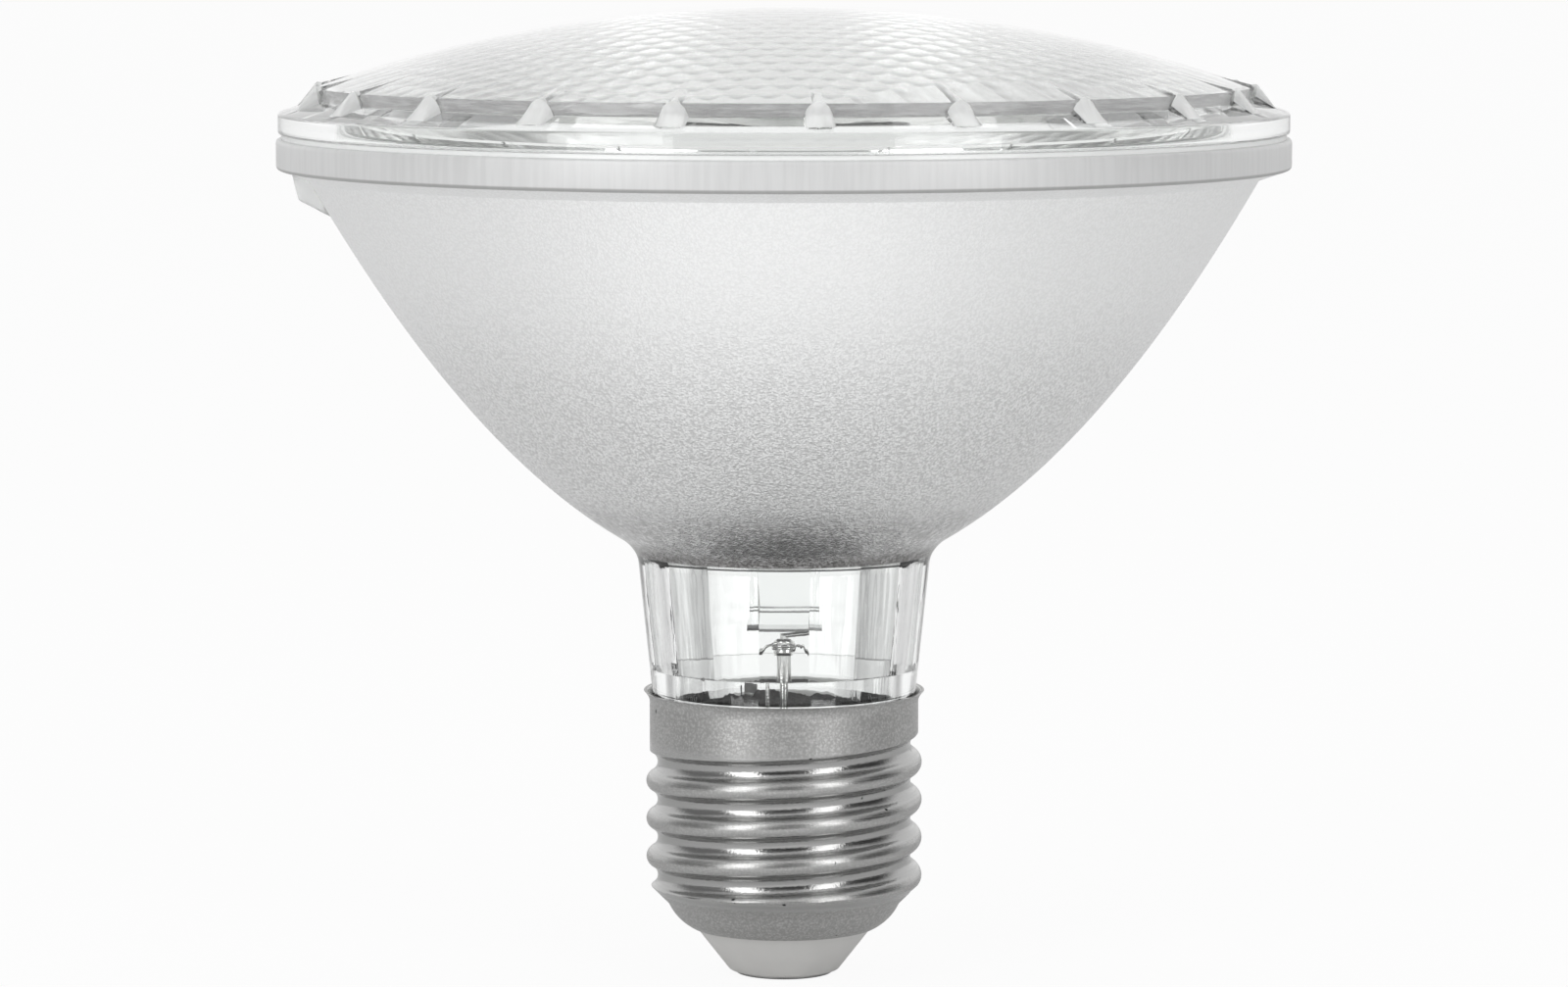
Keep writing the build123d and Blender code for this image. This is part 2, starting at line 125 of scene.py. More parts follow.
class LampGlassSizes(PropertyGroup):
    """Sizes of the bowl, rim and neck."""

    rim_radius: place("Rim radius", "Outer radius of the bowl's rim", GLASS_HIGH.x)
    land_z: place("Land height", "Height of the face that the lens is bonded to", GLASS_HIGH.z)
    spigot_z: place("Spigot height", "Height of the neck's lower end, inside the cap", GLASS_LOW.z)
    seat_z: place("Seat height", "Height of the ledge that the capsule's clip rests on", CLIP_LOW.z)
    lip_z: place("Lip height", "Height of the cap's lip", SHELL_HIGH.z)
    focal_length: length("Focal length", "Focal length of the mirror's paraboloid", 12.13)
    bowl_wall: length("Bowl wall", "Thickness of the bowl's glass", 2.4)
    rim_land: length("Rim land", "Width of the rim's upper face", 3.6)
    rim_height: length("Rim height", "Height of the rim's outer wall", 2.9)
    rim_drop: length("Rim drop", "Fall of the rim's underside towards the bowl", 0.6)
    rim_round: length("Rim round", "Rounding of the rim's two edges", 0.45)
    key_width: length("Key width", "Width of the index key under the rim", 4.0)
    key_height: length("Key height", "Height of the index key", 3.0)
    key_lean: length("Key lean", "How far the key's outer face leans in at its foot", 0.7)
    key_setback: length("Key setback", "How far the key stands in from the rim", 1.3)
    neck_radius: length("Neck radius", "Outer radius of the neck at the cap's lip", 12.56)
    neck_taper: angle("Neck taper", "Half angle of the neck's cone", 6.0)
    neck_wall: length("Neck wall", "Thickness of the neck's glass at a facet's corner", 1.75)
    shoulder: length("Shoulder", "Height of the bevel from the neck to its spigot", 0.9)
    bevel_drop: length("Bevel drop", "Depth of the bevel's top below the lip", 0.02)
    spigot_radius: length("Spigot radius", "Radius of the spigot inside the cap", 11.71)
    bore_facets: IntProperty(name="Bore facets", description="Flats round the neck's bore", default=16)
    bore_step: length("Bore step", "Step from the faceted bore to the round one", 0.75)
    bore_step_height: length("Bore step height", "Height of that step above the lip", 2.2)
    throat_drop: length("Throat drop", "Where the neck starts to flare, below the seat", 1.8)
    throat_reach: length("Throat reach", "Where the flare ends, outside the seat", 1.6)
    seat_ledge: length("Seat ledge", "Width of the capsule clip's ledge", 0.5)


class LampLensSizes(PropertyGroup):
    """Sizes of the front lens."""

    radius: place("Lens radius", "Outer radius of the lens", LENS_HIGH.x)
    base_z: place("Lens base", "Height of the face that is bonded to the rim", LENS_LOW.z + SEAL_GAP)
    apex_z: place("Lens apex", "Height of the dome's middle", LENS_HIGH.z)
    dome_radius: length("Dome radius", "Radius of the dome's sphere", 135.0)
    dome_setback: length("Dome setback", "Where the dome ends, in from the lens's edge", 3.65)
    dome_step: length("Dome step", "Height of the wall at the dome's edge", 1.2)
    ring_slope: angle("Ring slope", "Fall of the ring outside the dome", 19.0)
    edge_height: length("Edge height", "Height of the lens's outer wall", 1.9)
    flange: length("Flange", "Width of the bonded face", 5.4)
    thickness: length("Thickness", "Thickness of the dome between its pebbles", 2.6)
    lug_count: IntProperty(name="Lugs", description="Wedges round the dome's edge", default=22)
    lug_first: angle("First lug", "Angle of one wedge about the lamp's axis", -86.12)
    lug_top: length("Lug top", "Width of a wedge at the dome", 1.0)
    lug_foot: length("Lug foot", "Width of a wedge at its foot", 2.7)
    lug_reach: length("Lug reach", "How far a wedge reaches from the dome", 2.3)
    lug_rise: length("Lug rise", "How far a wedge stands above the dome's edge", 0.25)
    pebble_pitch: length("Pebble pitch", "Spacing of the pebbles pressed in the inner face", 2.6)
    pebble_height: length("Pebble height", "Height of a pebble", 0.14)


class LampCapSizes(PropertyGroup):
    """Sizes of the screw cap."""

    edge_z: place("Shell edge", "Height of the shell's lower edge", SHELL_LOW.z)
    lip_z: place("Lip height", "Height of the shell's lip", SHELL_HIGH.z)
    tip_z: place("Tip height", "Height of the insulator's lower face", INSULATOR_LOW.z)
    crown_z: place("Crown height", "Height of the insulator's upper face", INSULATOR_HIGH.z)
    crest_radius: length("Thread radius", "Radius over the thread's crests", 13.1)
    thread_depth: length("Thread depth", "Depth of the thread", 1.08)
    thread_pitch: length("Thread pitch", "Rise of the thread in one turn", 25.4 / 7)
    thread_length: length("Thread length", "Height of the threaded stretch", 13.7)
    thread_run_out: length("Run-out", "Height from the cup to the first whole crest", 1.0)
    thread_start: angle("Thread start", "Angle of the crest where the thread starts", -5.0)
    sheet: length("Sheet", "Thickness of the shell", 0.3)
    cup_inset: length("Cup inset", "Radius of the cup inside the thread's roots", 0.57)
    cup_corner: length("Cup corner", "Radius of the cup's rounded corner", 4.8)
    cup_edge: length("Cup edge", "Radius of the shell's lower edge", 8.9)
    cup_top: angle("Cup top", "Where the rounded corner ends, below level", 24.0)
    skirt_inset: length("Skirt inset", "Radius of the skirt inside the crests", 0.34)
    lip_height: length("Lip flare height", "Height of the flared lip", 1.1)
    lip_flare: length("Lip flare", "How far the lip flares out", 0.55)
    waist_inset: length("Insulator waist", "How far the insulator draws in at the shell's edge", 0.5)
    tip_radius: length("Tip radius", "Radius of the insulator's lower face", 5.2)
    tip_round: length("Tip round", "Rounding of the insulator's lower edge", 0.6)
    pocket_radius: length("Contact pocket", "Radius of the pocket that holds the contact", 4.7)
    pocket_depth: length("Pocket depth", "Depth of the pocket in the insulator's lower face", 0.2)


class LampColours(PropertyGroup):
    """Colours of the lamp's finishes."""

    silver: colour("Silver", "The bowl's coating, seen through its glass", 0.97, 0.975, 0.975)
    # Painted shade: a darker copy of the coating's colour at the throat, standing in for the dark
    # reflection there
    throat: colour("Throat", "Darker coating at the bowl's throat", 0.74, 0.74, 0.74)
    grain: colour("Grain", "Shade in the hollows of the bowl's stipple", 0.5, 0.5, 0.5)
    # Painted shade along the corners of the neck's facets, on its two sides
    facet_shade: colour("Pressing line", "Shade along the corners of the neck's facets", 0.3, 0.3, 0.3)
    mirror: colour("Mirror", "The coating inside the bowl", 0.95, 0.95, 0.945)
    # Painted shade on the steep wall at the dome's edge
    wall: colour("Lens wall", "The steep wall at the edge of the lens's dome", 0.7, 0.7, 0.7)
    glass: colour("Glass", "Clear pressed glass", 0.975, 0.985, 0.98)
    nickel: colour("Nickel", "Plating of the screw shell", 0.46, 0.46, 0.455)
    # Also the dark colour of painted shade at the coating's edge, the rim's lower edge and the nickel's
    # grain hollows
    inside: colour("Shell inside", "Dull metal inside the shell", 0.10, 0.095, 0.09)
    # Painted light: a much lighter copy of the shell's metal, inside its lip
    lip: colour("Lip", "Bright metal inside the shell's lip", 0.95, 0.95, 0.94)
    steel: colour("Steel", "Clip, wires and crimps", 0.78, 0.78, 0.77)
    tungsten: colour("Tungsten", "The filament", 0.30, 0.30, 0.31)
    insulator: colour("Insulator", "Moulded insulator of the cap", 0.72, 0.715, 0.70)
    cement: colour("Cement", "Cement that holds the neck in the cap", 0.022, 0.021, 0.02)
    # Also the colour of the lines of painted shade across the capsule's pinch
    speck: colour("Speck", "Specks of dirt", 0.03, 0.03, 0.03)
    floor: colour("Floor", "The pale floor", 0.78, 0.78, 0.78)


# Outlines, as arrays of radius and height


def arc(centre, radius, start, end, count):
    """Points on an arc between two angles, in radians from the outward direction."""
    turn = np.linspace(start, end, count)
    return np.column_stack([centre[0] + radius * np.cos(turn), centre[1] + radius * np.sin(turn)])


def flare(start, start_way, end, end_way, count):
    """A smooth blend between two points that leaves and arrives along the given directions."""
    start, end = np.array(start), np.array(end)
    chord = np.linalg.norm(end - start)
    leave = chord * np.array(start_way) / np.linalg.norm(start_way)
    arrive = chord * np.array(end_way) / np.linalg.norm(end_way)
    t = np.linspace(0, 1, count)[:, None]
    return (
        (2 * t**3 - 3 * t**2 + 1) * start + (t**3 - 2 * t**2 + t) * leave
        + (3 * t**2 - 2 * t**3) * end + (t**3 - t**2) * arrive
    )


def rounded(points, radius, steps=5):
    """A polyline with each inner corner rounded to a radius, or to the room that its sides leave."""
    points = [np.array(p, float) for p in points]
    made = [points[0]]
    for before, corner, after in zip(points, points[1:], points[2:]):
        back, on = before - corner, after - corner
        room = 0.45 * min(np.linalg.norm(back), np.linalg.norm(on))
        back, on = back / np.linalg.norm(back), on / np.linalg.norm(on)
        half = math.acos(max(-1.0, min(1.0, float(back @ on)))) / 2
        reach = min(room, radius / math.tan(half))
        for t in np.linspace(0, 1, steps):
            bend = (1 - t) ** 2 * back + t**2 * on
            made.append(corner + reach * bend)
    made.append(points[-1])
    return np.array(made)


def joined(*stretches):
    """Stretches of an outline end to end, without the points that repeat."""
    points = np.vstack(stretches)
    step = np.linalg.norm(np.diff(points, axis=0), axis=1)
    return points[np.append(True, step > 1e-7)]


def along(outline, spots):
    """Points at shares of an outline's length."""
    run = np.append(0, np.cumsum(np.linalg.norm(np.diff(outline, axis=0), axis=1)))
    run /= run[-1]
    return np.column_stack([np.interp(spots, run, outline[:, k]) for k in (0, 1)])


def smooth_step(x):
    """A value that eases from 0 to 1."""
    x = np.clip(x, 0, 1)
    return x * x * (3 - 2 * x)


# Meshes


def full_turn(columns):
    """Even angles round the lamp's axis."""
    return np.linspace(0, TURN, columns, endpoint=False)


def round_axis(radius, angles, height):
    """Points at radii, angles and heights about the lamp's axis."""
    return np.stack(np.broadcast_arrays(radius * np.cos(angles), radius * np.sin(angles), height), axis=-1)


def turned_grid(outline, angles):
    """An outline carried round the lamp's axis: rows of points by columns of angles."""
    return round_axis(outline[:, 0:1], angles, outline[:, 1:2])


def grid_faces(rows, columns, closed):
    """Quads of a grid whose columns meet round the axis, and whose rows meet too if it is closed."""
    i = np.arange(rows if closed else rows - 1)[:, None]
    j = np.arange(columns)[None, :]
    below, above = i * columns, (i + 1) % rows * columns
    on = (j + 1) % columns
    return np.dstack([below + j, below + on, above + on, above + j]).reshape(-1, 4)


def new_piece(name, vertices, faces, finishes, crease, slots=None):
    """A mesh object of the lamp, smooth but for its creases, that rides on the lamp's body."""
    mesh = bpy.data.meshes.new(name)
    mesh.from_pydata([tuple(v) for v in vertices], [], [tuple(f) for f in faces])
    for finish in finishes:
        mesh.materials.append(finish)
    if slots is not None:
        mesh.polygons.foreach_set("material_index", np.asarray(slots, np.int32))
    mesh.validate()
    mesh.polygons.foreach_set("use_smooth", np.ones(len(mesh.polygons), bool))
    mesh.set_sharp_from_angle(angle=math.radians(crease))
    mesh.update()
    piece = bpy.data.objects.new(name, mesh)
    bpy.context.scene.collection.objects.link(piece)
    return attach(piece, BODY)


def ring_piece(name, grid, finishes, crease, slots=None):
    """A closed ring from rows of points whose last row meets the first."""
    faces = grid_faces(*grid.shape[:2], closed=True)
    return new_piece(name, grid.reshape(-1, 3), faces, finishes, crease, slots)


def tube_piece(name, path, radius, finish, sides=8):
    """A round wire along a path of points, with closed ends."""
    tangents = np.gradient(path, axis=0)
    tangents /= np.linalg.norm(tangents, axis=1)[:, None]
    across = np.cross(tangents[0], (0.3, 0.9, 0.1))
    turn = full_turn(sides)[:, None]
    rings = []
    for point, way in zip(path, tangents):
        across = across - way * (across @ way)
        across /= np.linalg.norm(across)
        other = np.cross(way, across)
        rings.append(point + radius * (np.cos(turn) * across + np.sin(turn) * other))
    count = len(path)
    faces = [tuple(f) for f in grid_faces(count, sides, closed=False)]
    faces.append(tuple(range(sides))[::-1])
    faces.append(tuple((count - 1) * sides + k for k in range(sides)))
    return new_piece(name, np.array(rings).reshape(-1, 3), faces, [finish], crease=50.0)


def curve_through(points, per_span=8):
    """A smooth path through a few points."""
    points = np.array(points, float)
    ends = np.vstack([2 * points[0] - points[1], points, 2 * points[-1] - points[-2]])
    t = np.linspace(0, 1, per_span, endpoint=False)[:, None]
    made = [
        0.5 * (2 * b + (c - a) * t + (2 * a - 5 * b + 4 * c - d) * t**2 + (3 * b - a - 3 * c + d) * t**3)
        for a, b, c, d in zip(ends, ends[1:], ends[2:], ends[3:])
    ]
    return np.vstack([*made, points[-1:]])


# Nodes


def join(tree, value, socket):
    """Links a value to a socket, or sets it there."""
    if isinstance(value, bpy.types.NodeSocket):
        tree.links.new(value, socket)
    else:
        socket.default_value = value


def feed(tree, node, **values):
    """Links or sets the inputs of a node by their names."""
    for key, value in values.items():
        join(tree, value, node.inputs[key.replace("_", " ")])


def put(tree, kind, links=None, **settings):
    """A new node, with its settings, and its inputs linked or set."""
    node = tree.nodes.new(kind)
    for key, value in settings.items():
        setattr(node, key, value)
    for key, value in (links or {}).items():
        join(tree, value, node.inputs[key])
    return node


def calc(tree, operation, first, second=0.0, third=0.0):
    """A math node's value."""
    return put(tree, "ShaderNodeMath", {0: first, 1: second, 2: third}, operation=operation).outputs[0]


def times(tree, first, *others):
    """The product of some values."""
    for other in others:
        first = calc(tree, "MULTIPLY", first, other)
    return first


def away_from(tree, value, level):
    """How far a value lies from a level."""
    return calc(tree, "ABSOLUTE", calc(tree, "SUBTRACT", value, level))


def between(tree, value, low, high, to_low=0.0, to_high=1.0):
    """A value eased from one range to another."""
    node = put(
        tree, "ShaderNodeMapRange",
        {"Value": value, "From Min": low, "From Max": high, "To Min": to_low, "To Max": to_high},
        interpolation_type="SMOOTHSTEP",
    )
    return node.outputs[0]


def blended(tree, share, first, second):
    """A colour between two others."""
    return put(tree, "ShaderNodeMix", {0: share, 6: first, 7: second}, data_type="RGBA").outputs[2]


def solid(rgb, strength=1.0):
    """A colour at a strength, with its alpha."""
    return (*(strength * c for c in rgb), 1.0)


def vector_calc(tree, operation, *vectors):
    """The outputs of a vector math node."""
    return put(tree, "ShaderNodeVectorMath", dict(enumerate(vectors)), operation=operation).outputs


def noise(tree, where, scale=1.0, detail=2.0):
    """The outputs of a cloudy texture."""
    return put(tree, "ShaderNodeTexNoise", {"Vector": where, "Scale": scale, "Detail": detail}).outputs


def spot_of(tree):
    """Where a point lies, in the lamp's frame."""
    return put(tree, "ShaderNodeTexCoord").outputs["Object"]


def split(tree, vector):
    """The three parts of a vector."""
    return put(tree, "ShaderNodeSeparateXYZ", {0: vector}).outputs


def height_of(tree):
    """Height along the lamp's axis."""
    return split(tree, spot_of(tree))["Z"]


def turn_of(tree):
    """Angle about the lamp's axis."""
    where = split(tree, spot_of(tree))
    return calc(tree, "ARCTAN2", where["Y"], where["X"])


def radius_of(tree):
    """Distance from the lamp's axis."""
    flat = vector_calc(tree, "MULTIPLY", spot_of(tree), (1, 1, 0))
    return vector_calc(tree, "LENGTH", flat[0])["Value"]


def lined_noise(tree, turn_scale, height_scale):
    """Noise drawn out along or round the lamp's axis."""
    spot = {0: times(tree, turn_of(tree), turn_scale), 1: times(tree, height_of(tree), height_scale)}
    return noise(tree, put(tree, "ShaderNodeCombineXYZ", spot).outputs[0], detail=3.0)[0]


# Effects that several finishes share


def new_group(name, inputs, outputs):
    """An empty shader group with named number sockets, and its two ends."""
    group = bpy.data.node_groups.new(name, "ShaderNodeTree")
    for label, default in inputs.items():
        socket = group.interface.new_socket(name=label, in_out="INPUT", socket_type="NodeSocketFloat")
        socket.default_value = default
    for label in outputs:
        group.interface.new_socket(name=label, in_out="OUTPUT", socket_type="NodeSocketFloat")
    return group, group.nodes.new("NodeGroupInput").outputs, group.nodes.new("NodeGroupOutput")


def fill_stipple(name):
    """The orange-peel relief of pressed glass: rounded grains with a finer grain between."""
    group, start, end = new_group(name, {"Grains per metre": 900.0}, ["Height", "Mottle"])
    where, scale = spot_of(group), start["Grains per metre"]
    grain = put(
        group, "ShaderNodeTexVoronoi",
        {"Vector": where, "Scale": scale, "Smoothness": 0.8, "Randomness": 1.0}, feature="SMOOTH_F1",
    )
    fine = noise(group, where, times(group, scale, 1.7))
    patch = noise(group, where, times(group, scale, 0.22), detail=3.0)
    height = calc(group, "MULTIPLY_ADD", grain.outputs["Distance"], -0.7, fine[0])
    feed(group, end, Height=height, Mottle=patch[0])


def fill_streaks(name):
    """Fine lines round the lamp's axis, as a rolled or turned surface has."""
    group, start, end = new_group(name, {"Lines per metre": 9000.0, "Breaks": 1.0}, ["Streak"])
    feed(group, end, Streak=lined_noise(group, start["Breaks"], start["Lines per metre"]))


def fill_specks(name):
    """A few small specks: 1 on a speck and 0 elsewhere."""
    inputs = {"Cells per metre": 300.0, "Speck size": 0.06, "Share": 0.2}
    group, start, end = new_group(name, inputs, ["Speck"])
    where = spot_of(group)
    shift = vector_calc(group, "MULTIPLY", noise(group, where, scale=2500.0)["Color"], (0.4 * MM,) * 3)
    bent = vector_calc(group, "ADD", where, shift[0])
    spread = {"Vector": bent[0], "Scale": start["Cells per metre"]}
    cells = put(group, "ShaderNodeTexVoronoi", spread).outputs
    near = calc(group, "LESS_THAN", cells["Distance"], start["Speck size"])
    pick = put(group, "ShaderNodeSeparateColor", {0: cells["Color"]}).outputs[0]
    feed(group, end, Speck=times(group, near, calc(group, "LESS_THAN", pick, start["Share"])))


EFFECTS = {"pressed_stipple": fill_stipple, "rolled_streaks": fill_streaks, "dark_specks": fill_specks}


def use_group(tree, name, **values):
    """The outputs of a shared effect, built when first asked for and placed with its own values."""
    if name not in bpy.data.node_groups:
        EFFECTS[name](name)
    node = put(tree, "ShaderNodeGroup", node_tree=bpy.data.node_groups[name])
    feed(tree, node, **values)
    return node.outputs


def stippled(tree, grains):
    """Height and mottle of a stipple with so many grains to the metre."""
    return use_group(tree, "pressed_stipple", Grains_per_metre=grains)


def streaked(tree, lines, breaks=1.0):
    """Streaks with so many lines to the metre, and how often they break in a turn."""
    return use_group(tree, "rolled_streaks", Lines_per_metre=lines, Breaks=breaks)["Streak"]


def specked(tree, cells, size, share):
    """Specks of a size in a share of the cells."""
    return use_group(tree, "dark_specks", Cells_per_metre=cells, Speck_size=size, Share=share)["Speck"]


# Finishes


def new_finish(name, **constants):
    """A material, its tree and its shader, with the values that are the same all over."""
    material = bpy.data.materials.new(name)
    material.use_nodes = True
    shader = material.node_tree.nodes["Principled BSDF"]
    feed(material.node_tree, shader, **constants)
    return material, material.node_tree, shader


def set_relief(tree, shader, height, strength, distance):
    """A bump from a height."""
    bump = put(tree, "ShaderNodeBump", {"Height": height, "Strength": strength, "Distance": distance})
    feed(tree, shader, Normal=bump.outputs[0])


def silvered_bowl(colours, sizes):
    """The stippled outside of the bowl, with its coating behind the glass."""
    material, tree, shader = new_finish("silvered_bowl")
    height = height_of(tree)
    throat = between(tree, height, sizes.seat_z - 0.5 * MM, sizes.seat_z + 7.5 * MM, 1.0, 0.0)
    coarse = between(tree, height, sizes.seat_z + 6 * MM, sizes.land_z - 6 * MM, 1.0, 0.0)
    fine, gritty = stippled(tree, grains=3600.0), stippled(tree, grains=1700.0)
    # Painted shade: towards the throat the coating drifts in blotchy patches to the darker throat colour
    painted_throat_shade = times(tree, throat, between(tree, fine["Mottle"], 0.3, 0.7, 0.55, 1.0))
    tint = blended(tree, painted_throat_shade, solid(colours.silver), solid(colours.throat))
    # Painted shade: hollows between the grains are darker lower down, and coarser at the throat
    finer = times(tree, fine["Height"], calc(tree, "SUBTRACT", 1.0, throat))
    hollows = calc(tree, "MULTIPLY_ADD", gritty["Height"], throat, finer)
    grain = times(
        tree, between(tree, hollows, 0.0, 0.4, 1.0, 0.0),
        between(tree, coarse, 0.0, 1.0, 0.14, 0.64), between(tree, throat, 0.2, 0.8, 1.0, 1.7),
    )
    tint = blended(tree, grain, tint, solid(colours.grain))
    # The coating ends in an uneven edge, with a dark band of painted shade along it
    _, bend, _ = neck_outline(sizes)
    edge_z = bend[CLEAR_ROWS][1]
    edge = times(
        tree, between(tree, height, edge_z + 0.3 * MM, edge_z + 1.8 * MM, 1.0, 0.0),
        between(tree, fine["Height"], -0.1, 0.35, 0.9, 0.55),
    )
    feed(
        tree, shader,
        Base_Color=blended(tree, edge, tint, solid(colours.inside)),
        Metallic=between(tree, throat, 0.0, 0.7, 0.85, 1.0),
        Roughness=between(tree, throat, 0.0, 1.0, 0.42, 0.1),
    )
    relief = times(
        tree, fine["Height"],
        between(tree, coarse, 0.0, 1.0, 0.2, 0.45), between(tree, throat, 0.3, 0.9, 1.0, 0.6),
    )
    set_relief(tree, shader, relief, strength=0.9, distance=0.28 * MM)
    return material


def rim_band(colours, sizes):
    """The rim's smooth glass over the coating, with the mould's fine upright lines, painted shade over its
    coating and a line of painted shadow along its lower edge.
    """
    material, tree, shader = new_finish(
        "rim_band", Metallic=0.2, Coat_Weight=0.2, Coat_Roughness=0.15, Coat_IOR=GLASS_INDEX
    )
    lines = lined_noise(tree, turn_scale=90.0, height_scale=120.0)
    share = between(tree, lines, 0.3, 0.7)
    # Painted shade: the rim's coating takes darker copies of the bowl's silver, which drift along the
    # mould's upright lines
    tint = blended(tree, share, solid(colours.silver, 0.69), solid(colours.silver, 0.74))
    # Painted shadow: a dark line along the rim's lower edge
    rim_shadow_z = sizes.land_z - sizes.rim_height + 0.12 * MM
    rim_shadow_line = between(tree, away_from(tree, height_of(tree), rim_shadow_z), 0.1 * MM, 0.3 * MM, 0.5, 0.0)
    feed(
        tree, shader,
        Base_Color=blended(tree, rim_shadow_line, tint, solid(colours.inside)),
        Roughness=between(tree, lines, 0.3, 0.7, 0.45, 0.55),
    )
    set_relief(tree, shader, lines, strength=0.08, distance=0.3 * MM)
    return material


def mirror_coat(colours):
    """The bright coating on the bowl's inner face."""
    material, tree, shader = new_finish(
        "mirror_coat", Metallic=1.0, Roughness=0.06, Base_Color=solid(colours.mirror)
    )
    set_relief(tree, shader, stippled(tree, grains=160.0)["Mottle"], strength=0.25, distance=0.4 * MM)
    return material


def clear_glass(
    name, colours, ripple, roughness=0.0, clear=1.0, index=GLASS_INDEX, draw=0.0, shade_lines=(), facets=0
):
    """Pressed glass with a ripple in its skin, lines along it, dirt specks, and lines of painted shade at
    heights and at corners.
    """
    material, tree, shader = new_finish(
        name, Roughness=roughness, IOR=index, Transmission_Weight=clear, Metallic=0.0
    )
    patch = stippled(tree, grains=700.0)["Mottle"]
    dark = specked(tree, cells=260.0, size=0.045, share=0.1)
    # Painted shade: a dark line at each of these heights, broken in patches
    for level, reach in shade_lines:
        shade_line = between(tree, away_from(tree, height_of(tree), level), 0.4 * reach, reach, 1.0, 0.0)
        broken = between(tree, patch, 0.3, 0.5, 0.3, 1.0)
        dark = calc(tree, "MAXIMUM", dark, times(tree, shade_line, broken))
    tint = blended(tree, dark, solid(colours.glass), solid(colours.speck))
    if facets:
        # Shade along the corners of the facets on the neck's two sides
        turn = turn_of(tree)
        share = calc(tree, "FRACT", times(tree, turn, facets / TURN))
        corner = between(tree, away_from(tree, share, 0.5), 0.05, 0.26, 0.75, 0.0)
        side = between(tree, calc(tree, "ABSOLUTE", calc(tree, "COSINE", turn)), 0.3, 0.85)
        tint = blended(tree, times(tree, corner, side), tint, solid(colours.facet_shade))
    relief = times(tree, patch, ripple)
    if draw:
        relief = calc(tree, "MULTIPLY_ADD", streaked(tree, lines=40.0, breaks=4.0), draw, relief)
    feed(tree, shader, Base_Color=tint)
    set_relief(tree, shader, relief, strength=1.0, distance=0.3 * MM)
    return material


def shaded_wall_glass(name, colours):
    """The steep wall at the dome's edge: glass greyed with painted shade, broken by lines of plain glass
    colour.
    """
    material, tree, shader = new_finish(
        name, Roughness=0.05, IOR=GLASS_INDEX, Transmission_Weight=0.8, Metallic=0.0
    )
    streaks = streaked(tree, lines=2600.0, breaks=16.0)
    share = between(tree, streaks, 0.45, 0.66)
    feed(tree, shader, Base_Color=blended(tree, share, solid(colours.wall), solid(colours.glass)))
    set_relief(tree, shader, streaks, strength=0.3, distance=0.2 * MM)
    return material


def rolled_nickel(colours, sizes):
    """Plated sheet: polished in the thread's roots, satin on its crests, on the skirt and on the cup."""
    material, tree, shader = new_finish("rolled_nickel", Metallic=1.0)
    streaks, grain = streaked(tree, lines=7000.0), stippled(tree, grains=3800.0)["Height"]
    levels, height = cap_levels(sizes), height_of(tree)
    root_r, crest_r = sizes.crest_radius - sizes.thread_depth, sizes.crest_radius
    polish = times(
        tree, between(tree, radius_of(tree), root_r + 0.55 * MM, crest_r - 0.12 * MM, 1.0, 0.35),
        between(tree, height, levels.thread_z - 0.8 * MM, levels.thread_z - 0.1 * MM),
        between(tree, height, levels.skirt_z - 0.4 * MM, levels.skirt_z + 1.2 * MM, 1.0, 0.0),
    )
    worn = between(tree, streaks, 0.35, 0.65, -0.05, 0.05)
    # Painted shade in the hollows of the grain on the satin parts
    satin = times(
        tree, between(tree, grain, 0.0, 0.5, 0.36, 0.0), between(tree, polish, 0.0, 0.8, 1.0, 0.0)
    )
    # Painted light and shade: the satin parts take a lighter copy of the nickel and the polished roots a
    # darker one
    tint = blended(tree, polish, solid(colours.nickel, 1.16), solid(colours.nickel, 0.88))
    tint = blended(tree, satin, tint, solid(colours.inside))
    dirt = specked(tree, cells=420.0, size=0.07, share=0.14)
    feed(
        tree, shader,
        Base_Color=blended(tree, dirt, tint, solid(colours.speck)),
        Roughness=calc(tree, "ADD", between(tree, polish, 0.0, 1.0, 0.36, 0.19), worn),
    )
    relief = calc(tree, "MULTIPLY_ADD", streaks, 0.5, grain)
    set_relief(tree, shader, relief, strength=0.12, distance=0.1 * MM)
    return material


def drawn_metal(name, rgb, roughness):
    """Wire, crimp or stamped sheet."""
    material, tree, shader = new_finish(name, Metallic=1.0, Base_Color=solid(rgb))
    streaks = streaked(tree, lines=5000.0)
    feed(tree, shader, Roughness=between(tree, streaks, 0.3, 0.7, roughness - 0.06, roughness + 0.08))
    set_relief(tree, shader, streaks, strength=0.1, distance=0.1 * MM)
    return material


def patchy_finish(name, first, second, grains, rough, blend=None, relief=None, **constants):
    """A finish that drifts in patches between two colours and two roughnesses."""
    material, tree, shader = new_finish(name, **constants)
    stipple = stippled(tree, grains)
    patch = stipple["Mottle"]
    share = between(tree, patch, *blend) if blend else patch
    feed(
        tree, shader,
        Base_Color=blended(tree, share, first, second), Roughness=between(tree, patch, 0.2, 0.8, *rough),
    )
    if relief:
        set_relief(tree, shader, stipple["Height"], *relief)
    return material


def dull_inside(colours):
    """Dark, dull metal inside the shell."""
    return patchy_finish(
        "shell_inside", solid(colours.inside), solid(colours.inside, strength=2.2),
        grains=1200.0, rough=(0.4, 0.6), blend=(0.4, 0.8), Metallic=0.6,
    )


def moulded_insulator(colours):
    """The cap's pale moulding."""
    return patchy_finish(
        "moulded_insulator", solid(colours.insulator, strength=0.9), solid(colours.insulator),
        grains=1500.0, rough=(0.36, 0.5), relief=(0.08, 0.1 * MM), Metallic=0.0, IOR=1.5,
    )


